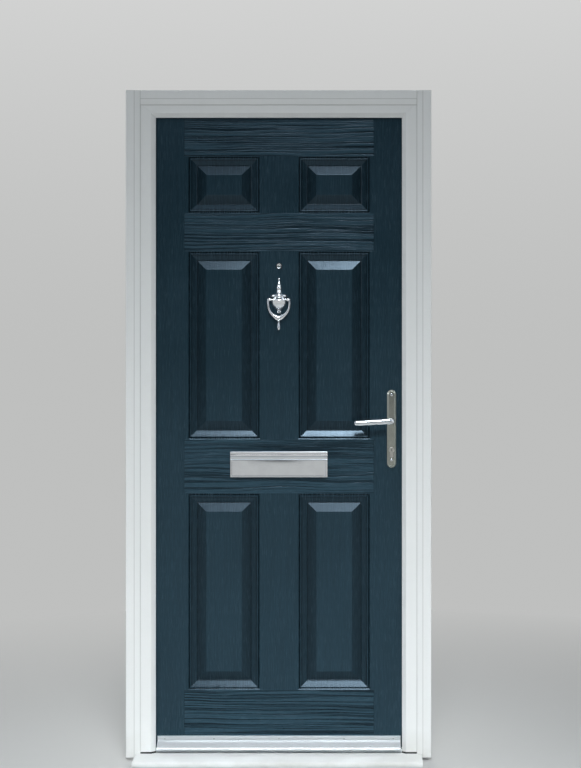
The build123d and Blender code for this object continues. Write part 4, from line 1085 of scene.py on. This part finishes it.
# The hood's front: behind the plate's front, and below its top
HOOD_HEIGHT = 26.0
HOOD = [
    (1.8, 0.0), (0.8, 0.3), (0.35, 1.9), (0.3, 2.2), (0.6, 7.8), (1.3, 8.6), (1.3, 9.3), (0.5, 10.0),
    (0.3, 10.6), (0.55, 15.0), (1.3, 15.8), (1.3, 16.4), (0.3, 17.2), (0.0, 17.8), (0.7, 23.4),
    (1.05, 24.0), (0.62, 25.6), (2.0, HOOD_HEIGHT),
]
PLATE_BACK = 3.0


def letter_frame():
    """The letterplate's frame on the outside: ribbed hood, rims and back plate round the slot."""
    low, high = node_range("letterplate_outer_frame")
    slot_low, slot_high = node_range("letterplate_sleeve")
    half, front, top = high.x, low.y, high.z
    hood_base = top - HOOD_HEIGHT
    inside = FACE - 2.9
    hood = [(FACE, top), *((front + behind, top - below) for behind, below in HOOD)]
    hood += [(inside, hood_base), (inside, top - 8.0), (FACE, top - 8.0)]
    shells = [section_bar(hood, (-half, half), 0.7)]
    for side in (-1, 1):
        x = sorted((side * half, side * (half - 4.5)))
        shells.append(soft_box(x, (front + 1.0, FACE - PLATE_BACK), (low.z, hood_base), 1.0, 3))
    y, z = (front + 1.05, FACE - PLATE_BACK - 0.05), (low.z, low.z + 4.5)
    shells.append(soft_box((-half + 0.4, half - 0.4), y, z, 1.0, 3))
    slot_x, slot_z = (slot_low.x + 2, slot_high.x - 2), (slot_low.z + 2, slot_high.z - 2)
    for x, z in (
        ((-half, slot_x[0]), (low.z, top)), ((slot_x[1], half), (low.z, top)),
        (slot_x, (low.z, slot_z[0])), (slot_x, (slot_z[1], top)),
    ):
        shells.append(soft_box(x, (FACE - PLATE_BACK, FACE), z, 0.3, 1))
    return shells


def letter_flap():
    """The hanging flap: a slightly crowned plate with rolled edges and its knuckle."""
    low, high = node_range("outer_flap")
    axis_y, axis_z = (low.y + high.y) / 2, high.z - 3.0
    x0, x1, z0, z1 = low.x, high.x, low.z, axis_z + 1.5
    columns, rows = 28, 10
    roll, crown_height = 0.4, 0.35
    front, back = [], []
    shell = bmesh.new()
    for j in range(rows + 1):
        v = j / rows
        for i in range(columns + 1):
            u = i / columns
            crown = crown_height * (1 - (2 * u - 1) ** 2) * (1 - (2 * v - 1) ** 2)
            x, z = x0 + roll + (x1 - x0 - 2 * roll) * u, z0 + roll + (z1 - z0 - roll) * v
            front.append(shell.verts.new((x, axis_y - 2.6 - crown, z)))
            back.append(shell.verts.new((x, axis_y + 1.5, z)))
    wide = columns + 1
    for j in range(rows):
        for i in range(columns):
            a = j * wide + i
            shell.faces.new((front[a], front[a + 1], front[a + wide + 1], front[a + wide]))
            shell.faces.new((back[a + wide], back[a + wide + 1], back[a + 1], back[a]))
    rim = list(range(wide)) + [j * wide + columns for j in range(1, rows + 1)]
    rim += [rows * wide + i for i in range(columns - 1, -1, -1)]
    rim += [j * wide for j in range(rows - 1, 0, -1)]
    edge = []
    for index in rim:
        x, _, z = front[index].co
        x = x0 if x < x0 + 0.5 else x1 if x > x1 - 0.5 else x
        edge.append(shell.verts.new((x, axis_y - 2.1, z0 if z < z0 + 0.5 else z)))
    for k, index in enumerate(rim):
        n = (k + 1) % len(rim)
        shell.faces.new((front[rim[n]], front[index], edge[k], edge[n]))
        shell.faces.new((edge[n], edge[k], back[index], back[rim[n]]))
    bmesh.ops.recalc_face_normals(shell, faces=shell.faces)
    knuckle = tube([
        (1.56, x0), (2.1, x0), (2.5, x0 + 0.5), (2.5, x1 - 0.5), (2.1, x1), (1.56, x1),
    ], (0.0, axis_y, axis_z), "X", 28)
    return [shell, knuckle]


class DOOR_OT_letterplate(bpy.types.Operator):
    """Build the letterplate's two frames and flaps, its sleeve and hinge pins"""

    bl_idname = "door.letterplate"
    bl_label = "Letterplate"

    def execute(self, context):
        for side, body in (("outer", "flap_outside"), ("inner", "flap_inside")):
            add_piece(f"ribbed_{side}_letter_frame", on_side(side, letter_frame()), "leaf", "chrome",
                      f"letterplate_{side}_frame", crease=24.0)
            add_piece(f"polished_{side}_flap", on_side(side, letter_flap()), body, "chrome",
                      f"{side}_flap", crease=40.0)
        repaint("black", "letterplate_sleeve")
        repaint("zinc", "flap_pins")
        return {"FINISHED"}


# The handles

# Stations along the lever's bend: across from the spindle, back from the arm's line and below the
# spindle; the direction that the lever runs in there; half its width and half its height
LEVER_BEND = [
    (0.0, 27.0, 0.0, (0, -1), 9.9, 9.9), (0.0, 24.0, 0.0, (0, -1), 9.6, 9.6),
    (0.0, 16.0, 0.0, (0, -1), 8.6, 8.8), (0.0, 11.0, 0.0, (-0.1, -1), 8.5, 9.2),
    (0.8, 7.0, 0.0, (-0.35, -1), 8.6, 9.7), (2.6, 3.6, 0.0, (-0.8, -0.8), 8.4, 10.0),
    (6.4, 1.2, 0.1, (-1, -0.4), 7.2, 9.9), (12.0, 0.2, 0.3, (-1, -0.1), 6.2, 9.5),
    (22.0, 0.0, 0.9, (-1, 0), 5.9, 9.2), (45.0, 0.0, 2.4, (-1, 0), 5.8, 9.0),
    (70.0, 0.0, 3.9, (-1, 0), 5.8, 8.8), (95.0, 0.0, 5.2, (-1, 0), 5.8, 8.6),
]
# Stations near its tip: distance from the tip, below the spindle, half the width and half the height
LEVER_TIP = [
    (10.4, 5.9, 5.8, 8.5), (9.6, 5.9, 5.2, 7.9), (8.8, 5.95, 5.8, 8.5), (5.0, 6.0, 5.6, 8.2),
    (2.4, 6.0, 4.8, 7.2), (0.9, 6.0, 3.4, 5.4), (0.15, 6.0, 1.5, 2.6), (0.0, 6.0, 0.0, 0.0),
]


def lever_shell():
    """The outside lever: a round neck, a smooth bend and a tapering arm that droops a little."""
    low, high = node_range("outer_lever")
    x, _, z = middle_of(*node_range("lock_hub"))
    arm_y = low.y + 6.0
    stations = [((x, high.y, z), (0, -1), 9.9, 9.9)]
    for across, behind, drop, along, wide, tall in LEVER_BEND:
        stations.append(((x - across, arm_y + behind, z - drop), along, wide, tall))
    for inward, drop, wide, tall in LEVER_TIP:
        stations.append(((low.x + inward, arm_y, z - drop), (-1, 0), wide, tall))
    loops = []
    for centre, along, wide, tall in stations:
        direction = Vector(along).normalized()
        across = Vector((-direction.y, direction.x))
        loop = []
        for c, s in circle(0.0, 0.0, 1.0):
            y = max(low.y, centre[1] + across.y * wide * c)
            loop.append(Vector((centre[0] + across.x * wide * c, y, centre[2] + tall * s)))
        loops.append(loop)
    return loft(loops)


def bevelled_plate(side):
    """A copy of a backplate with a wide bevel round its outward face."""
    node = f"{side}_backplate"
    low, high = node_range(node)
    proud = low.y if side == "outer" else high.y
    corner = 9.0

    def on_rim(edge):
        for vert in edge.verts:
            x, y, z = vert.co / MM
            from_side, from_end = min(x - low.x, high.x - x), min(z - low.z, high.z - z)
            at_edge = from_side < corner and from_end < corner or min(from_side, from_end) < 0.05
            if abs(y - proud) > 0.02 or not at_edge:
                return False
        return True

    shell = merged_copy(node)
    dissolve_flat(shell)
    bevel_sharp(shell, 40, 2.6, segments=1, clamp=True, chosen=on_rim)
    bevel_sharp(shell, 22, 0.25, clamp=True)
    # The plate's finish carries a painted dark reflection in its colour
    add_copy(f"soft_{node}", shell, "leaf", "plate_chrome", node, 20.0)


class DOOR_OT_handles(bpy.types.Operator):
    """Build the lever handles, their plates and the lock cylinder's ends"""

    bl_idname = "door.handles"
    bl_label = "Handles"

    def execute(self, context):
        for side in ("outer", "inner"):
            add_piece(f"smooth_{side}_lever", on_side(side, [lever_shell()]), "lever_set", "chrome",
                      f"{side}_lever", crease=60.0)
            bevelled_plate(side)
        rounded_copy("thumbturn", "thumb_plug", "chrome", 0.4)
        repaint("satin", "cylinder_body", "outer_plug")
        repaint("zinc", "spindle", "lock_hub")
        low, high = node_range("outer_plug")
        x, _, z = middle_of(low, high)
        y = low.y
        collar = tube([
            (6.7, y + 0.2), (7.2, y - 0.1), (8.0, y + 0.1), (8.4, y + 0.6), (8.4, y + 1.2), (6.7, y + 1.2),
        ], (x, 0.0, z), "Y", 48)
        add_piece("plug_collar", [collar], "leaf", "satin")
        return {"FINISHED"}


# The lock, the hinges and their screws


class DOOR_OT_lock(bpy.types.Operator):
    """Finish the multipoint lock in the leaf's edge and its keeps"""

    bl_idname = "door.lock"
    bl_label = "Lock"

    def execute(self, context):
        for node, name, body, edge in (
            ("lock_faceplate", "faceplate", "leaf", 0.3),
            ("latch_bolt", "latch", "latch", 0.5),
            ("deadbolt", "deadbolt", "bolt", 0.6),
            ("upper_hook", "upper_hook", "hook_upper", 0.4),
            ("lower_hook", "lower_hook", "hook_lower", 0.4),
            ("hook_keeps", "hook_keeps", "frame", 0.3),
            ("centre_keep", "centre_keep", "frame", 0.3),
        ):
            rounded_copy(node, body, "zinc", edge, f"soft_{name}")
        repaint("zinc", "lock_case", "hook_cases", "drive_rail", "cylinder_screw")
        return {"FINISHED"}


class DOOR_OT_hinges(bpy.types.Operator):
    """Build the three hinges and finish their pins"""

    bl_idname = "door.hinges"
    bl_label = "Hinges"

    def execute(self, context):
        rounded_copy("hinge_frame_leaves", "frame", "powder", 0.5, "soft_frame_hinges")
        rounded_copy("hinge_door_leaves", "leaf", "powder", 0.5, "soft_door_hinges")
        repaint("zinc", "hinge_pins")
        return {"FINISHED"}


class DOOR_OT_screws(bpy.types.Operator):
    """Set every screw and bolt with its head and cross recess"""

    bl_idname = "door.screws"
    bl_label = "Screws"

    def execute(self, context):
        cross = sizes().screw_recess
        points = []
        for low, high in solid_boxes("weather_bar_screws"):
            x, _, z = middle_of(low, high)
            points.append((x, low.y + 1.8, z))
        fasteners("bar_screws", points, "outside", (3.5, 1.75), (2.0, 28.0), cross, "leaf",
                  "weather_bar_screws")
        for node, body, facing in (("frame_screws", "frame", "left"), ("door_screws", "leaf", "right")):
            flange, edge = [], []
            for low, high in solid_boxes(node):
                x, y, z = middle_of(low, high)
                if high.y - low.y > high.x - low.x:
                    flange.append((x, high.y - 1.75, z))
                else:
                    edge.append((low.x + 1.45 if body == "frame" else high.x - 1.45, y, z))
            fasteners(f"{body}_hinge_screws", flange, "inside", (3.85, 1.7), (2.0, 24.0), cross, body, node)
            fasteners(f"{body}_edge_screws", edge, facing, (3.85, 1.4), (2.0, 18.0), cross, body)
        heads = []
        for low, high in solid_boxes("through_bolts"):
            x, _, z = middle_of(low, high)
            heads.append((x, high.y - 3.0, z))
        fasteners("through_bolt_heads", heads, "inside", (6.0, 2.95), (2.5, 40.0), cross * 1.3, "leaf",
                  "through_bolts", finish="chrome")
        plate_low, plate_high = node_range("outer_backplate")
        fixings = [(x, plate_low.y + 0.15, z) for x, _, z in heads if plate_low.x < x < plate_high.x]
        fasteners("plate_fixings", fixings, "outside", (4.2, 0.9), (3.0, 4.0), cross * 0.9, "leaf",
                  finish="chrome", slot="chrome")
        return {"FINISHED"}


class DOOR_OT_viewer(bpy.types.Operator):
    """Build the door viewer's flanges and its lenses"""

    bl_idname = "door.viewer"
    bl_label = "Viewer"

    def execute(self, context):
        low, high = node_range("viewer_outer_tube")
        centre = (0.0, 0.0, (low.z + high.z) / 2)
        y = low.y

        def turned(name, finish, profile, *replaced):
            add_piece(name, [tube(profile, centre)], "leaf", finish, *replaced)

        turned("viewer_ring", "chrome", [
            (5.0, y + 0.95), (5.3, y + 0.8), (7.1, y + 0.12), (7.4, y + 0.1), (7.4, y + 1.0), (5.0, y + 1.3),
        ])
        turned("turned_viewer", "dark_chrome", [
            (5.0, high.y), (5.0, y + 1.3), (7.4, y + 1.0), (7.4, y + 0.2), (8.0, y), (9.2, y + 0.3),
            (10.2, y + 1.2), (10.5, y + 2.1), (10.5, FACE), (7.0, FACE), (7.0, high.y),
        ], "viewer_outer_tube")
        turned("viewer_cup", "satin", [
            (4.95, FACE + 2.0), (3.0, FACE + 3.4), (3.0, FACE + 4.6), (4.95, FACE + 4.6),
        ])
        turned("viewer_stop", "black", [
            (3.0, FACE + 3.4), (0.9, FACE + 3.7), (0.9, FACE + 4.6), (3.0, FACE + 4.6),
        ])
        low, high = node_range("viewer_inner_tube")
        y = high.y
        turned("turned_viewer_inside", "chrome", [
            (3.5, low.y), (3.5, y - 1.4), (4.6, y - 0.4), (6.6, y), (9.6, y - 0.2), (11.2, y - 1.0),
            (11.5, y - 1.9), (11.5, BACK), (4.95, BACK), (4.95, low.y),
        ], "viewer_inner_tube")
        y = FACE - 1.0
        lens = lathe([
            (0.0, y), (1.6, y + 0.06), (3.2, y + 0.35), (4.4, y + 0.85), (4.95, y + 1.4), (4.95, y + 2.9),
            (0.0, y + 2.9),
        ], centre)
        rear = lathe([
            (0.0, BACK - 3.0), (3.4, BACK - 3.0), (3.4, BACK - 0.8), (1.8, BACK - 0.2), (0.0, BACK - 0.05),
        ], centre)
        add_piece("domed_lenses", [lens, rear], "leaf", "glass", "viewer_lenses", crease=50.0)
        return {"FINISHED"}


# The stage

FLOOR_SIZE, FLOOR_DEPTH = 14.0, 0.0006
IMAGE_WIDTH, IMAGE_HEIGHT = 581, 768
FOCAL_PIXELS = 1500.0
VIEW_CENTRE = (365.0, 393.0)
CAMERA_PLACE = (0.275, -4.775, 1.170)
SENSOR_WIDTH = 36.0
# Name, place, aim, width, spread in degrees, power and colour of each lamp
LAMPS = (
    ("key", (0.5, -5.0, 4.15), (0.0, -0.3, -0.5), 2.5, 36.0, 26.5, (0.96, 0.99, 1.0)),
    ("fill", (-4.4, -1.4, 2.4), (0.0, 0.0, 0.8), 2.0, 180.0, 12.0, (0.90, 0.95, 1.0)),
    ("rear", (-1.2, 4.2, 3.4), (0.0, 0.0, 1.1), 2.4, 180.0, 110.0, (1.0, 0.98, 0.95)),
)
AMBIENT, AMBIENT_STRENGTH = (0.86, 0.93, 1.0, 1), 0.30
ZENITH = (0.98, 0.98, 0.98, 1)
SIDE_PANELS = (0.82, 0.90, 1.0)
# What reflections show before the door, from the horizon to the zenith: dark, a pale panel,
# dark again and pale overhead
FRONT_STOPS = (
    (0.503, (0.035, 0.045, 0.050, 1)), (0.58, (0.045, 0.058, 0.068, 1)), (0.70, (0.46, 0.56, 0.66, 1)),
    (0.78, (0.85, 0.93, 0.98, 1)), (0.87, (0.70, 0.80, 0.90, 1)), (0.91, (0.10, 0.12, 0.12, 1)),
    (0.955, (0.12, 0.14, 0.14, 1)), (1.0, (0.85, 0.90, 0.95, 1)),
)


def link_object(name, data):
    made = bpy.data.objects.new(name, data)
    bpy.context.scene.collection.objects.link(made)
    return made


def colour_ramp(factor, stops, interpolation="LINEAR"):
    """The colour of a Color Ramp with stops of (position, colour)."""
    made = put(factor.tree, "ShaderNodeValToRGB", {0: factor})
    ramp = made.color_ramp
    ramp.interpolation = interpolation
    ramp.elements.remove(ramp.elements[1])
    ramp.elements[0].position, ramp.elements[0].color = stops[0]
    for position, colour in stops[1:]:
        ramp.elements.new(position).color = colour
    return Value(made.outputs[0])


def end_tree(tree, kind, share, first, second):
    """Ends a tree in its output, with a mix of two shaders."""
    mixed = value(tree, "ShaderNodeMixShader", {0: share, 1: first, 2: second})
    feed(tree.nodes.new(kind).inputs[0], mixed)


def lay_floor(pale):
    """A wide floor that takes the shadow near the door and melts into the background far from it."""
    mesh = bpy.data.meshes.new("floor")
    corners = rectangle((-FLOOR_SIZE, FLOOR_SIZE), (-FLOOR_SIZE, FLOOR_SIZE))
    mesh.from_pydata([(x, y, -FLOOR_DEPTH) for x, y in corners], [], [(0, 1, 2, 3)])
    link_object("floor", mesh)
    paint = bpy.data.materials.new("pale_floor")
    paint.use_nodes = True
    tree = paint.node_tree
    tree.nodes.clear()
    place = value(tree, "ShaderNodeTexCoord", output="Object")
    reach = value(tree, "ShaderNodeVectorMath", {0: place}, "Value", operation="LENGTH")
    matt = value(tree, "ShaderNodeBsdfDiffuse", {"Color": pale})
    plain = value(tree, "ShaderNodeEmission", {"Color": pale, "Strength": 1.0})
    end_tree(tree, "ShaderNodeOutputMaterial", reach.mapped(1.0, 3.4), matt, plain)
    mesh.materials.append(paint)


def light_world(scene, pale):
    """Even ambient light, and the pale studio that the camera, reflections and glass show."""
    scene.world = bpy.data.worlds.new("studio")
    scene.world.use_nodes = True
    tree = scene.world.node_tree
    tree.nodes.clear()
    rays = outputs_of(tree.nodes.new("ShaderNodeLightPath"))
    seen = maths(tree, "ADD", rays["Is Camera Ray"], rays["Is Transmission Ray"], clamp=True)
    seen = maths(tree, "ADD", seen, rays["Is Glossy Ray"], clamp=True)
    across, along, height = split(value(tree, "ShaderNodeTexCoord", output="Generated"))
    around = colour_ramp(height, ((0.0, pale), (0.75, ZENITH)), "EASE")
    front = colour_ramp(height.mapped(-1.0, 1.0), ((0.0, pale), (0.497, pale), *FRONT_STOPS))
    front = blend(abs(across).mapped(0.2, 0.8, 1.0, 0.65), (0.0, 0.0, 0.0), front)
    beside = abs(across).mapped(0.74, 0.84) * height.mapped(-0.02, 0.02)
    front = blend(beside, front, SIDE_PANELS)
    ahead = along.mapped(-0.05, -0.35) * (1.0 - rays["Is Camera Ray"])
    around = blend(ahead, around, front)
    ambient = value(tree, "ShaderNodeBackground", {"Color": AMBIENT, "Strength": AMBIENT_STRENGTH})
    shown = value(tree, "ShaderNodeBackground", {"Color": around, "Strength": 1.0})
    end_tree(tree, "ShaderNodeOutputWorld", seen, ambient, shown)


def hang_lamps():
    for name, place, aim, width, spread, power, colour in LAMPS:
        lamp = bpy.data.lights.new(name, "AREA")
        lamp.shape = "DISK"
        lamp.size = width
        lamp.spread = math.radians(spread)
        lamp.energy = power
        lamp.color = colour
        holder = link_object(name, lamp)
        holder.location = place
        holder.rotation_euler = (Vector(aim) - Vector(place)).to_track_quat("-Z", "Y").to_euler()


def set_camera(scene):
    lens = bpy.data.cameras.new("camera")
    lens.sensor_width = SENSOR_WIDTH
    lens.lens = FOCAL_PIXELS * SENSOR_WIDTH / IMAGE_HEIGHT
    lens.shift_x = (IMAGE_WIDTH / 2 - VIEW_CENTRE[0]) / IMAGE_HEIGHT
    lens.shift_y = (VIEW_CENTRE[1] - IMAGE_HEIGHT / 2) / IMAGE_HEIGHT
    lens.clip_start, lens.clip_end = 0.05, 100.0
    scene.camera = link_object("camera", lens)
    scene.camera.location = CAMERA_PLACE
    scene.camera.rotation_euler = (math.pi / 2, 0.0, 0.0)


class DOOR_OT_stage(bpy.types.Operator):
    """Set the floor, the lamps, the background and the camera"""

    bl_idname = "door.stage"
    bl_label = "Stage"

    def execute(self, context):
        scene = context.scene
        scene.view_settings.view_transform = "Standard"
        pale = (*scene.door_finishes.backdrop, 1)
        lay_floor(pale)
        light_world(scene, pale)
        hang_lamps()
        set_camera(scene)
        return {"FINISHED"}


class DOOR_PT_sidebar(bpy.types.Panel):
    """Lists the door's sizes, colours and pieces in the sidebar"""

    bl_idname = "DOOR_PT_sidebar"
    bl_label = "Front Door"
    bl_space_type = "VIEW_3D"
    bl_region_type = "UI"
    bl_category = "Front Door"

    def draw(self, context):
        for group in (context.scene.door_sizes, context.scene.door_finishes):
            column = self.layout.column(align=True)
            for name in group.bl_rna.properties.keys():
                if name not in {"rna_type", "name"}:
                    column.prop(group, name)
        for operator in OPERATORS:
            self.layout.operator(operator.bl_idname)


OPERATORS = (
    DOOR_OT_skins,
    DOOR_OT_core,
    DOOR_OT_outer_frame,
    DOOR_OT_weather_bar,
    DOOR_OT_knocker,
    DOOR_OT_letterplate,
    DOOR_OT_handles,
    DOOR_OT_lock,
    DOOR_OT_hinges,
    DOOR_OT_screws,
    DOOR_OT_viewer,
    DOOR_OT_stage,
)
CLASSES = (DoorSizes, DoorFinishes, *OPERATORS, DOOR_PT_sidebar)


def register():
    for item in CLASSES:
        bpy.utils.register_class(item)
    bpy.types.Scene.door_sizes = PointerProperty(type=DoorSizes)
    bpy.types.Scene.door_finishes = PointerProperty(type=DoorFinishes)


def unregister():
    del bpy.types.Scene.door_sizes
    del bpy.types.Scene.door_finishes
    for item in reversed(CLASSES):
        bpy.utils.unregister_class(item)


def main():
    register()
    for operator in OPERATORS:
        group, name = operator.bl_idname.split(".")
        getattr(getattr(bpy.ops, group), name)()


if __name__ == "__main__":
    main()
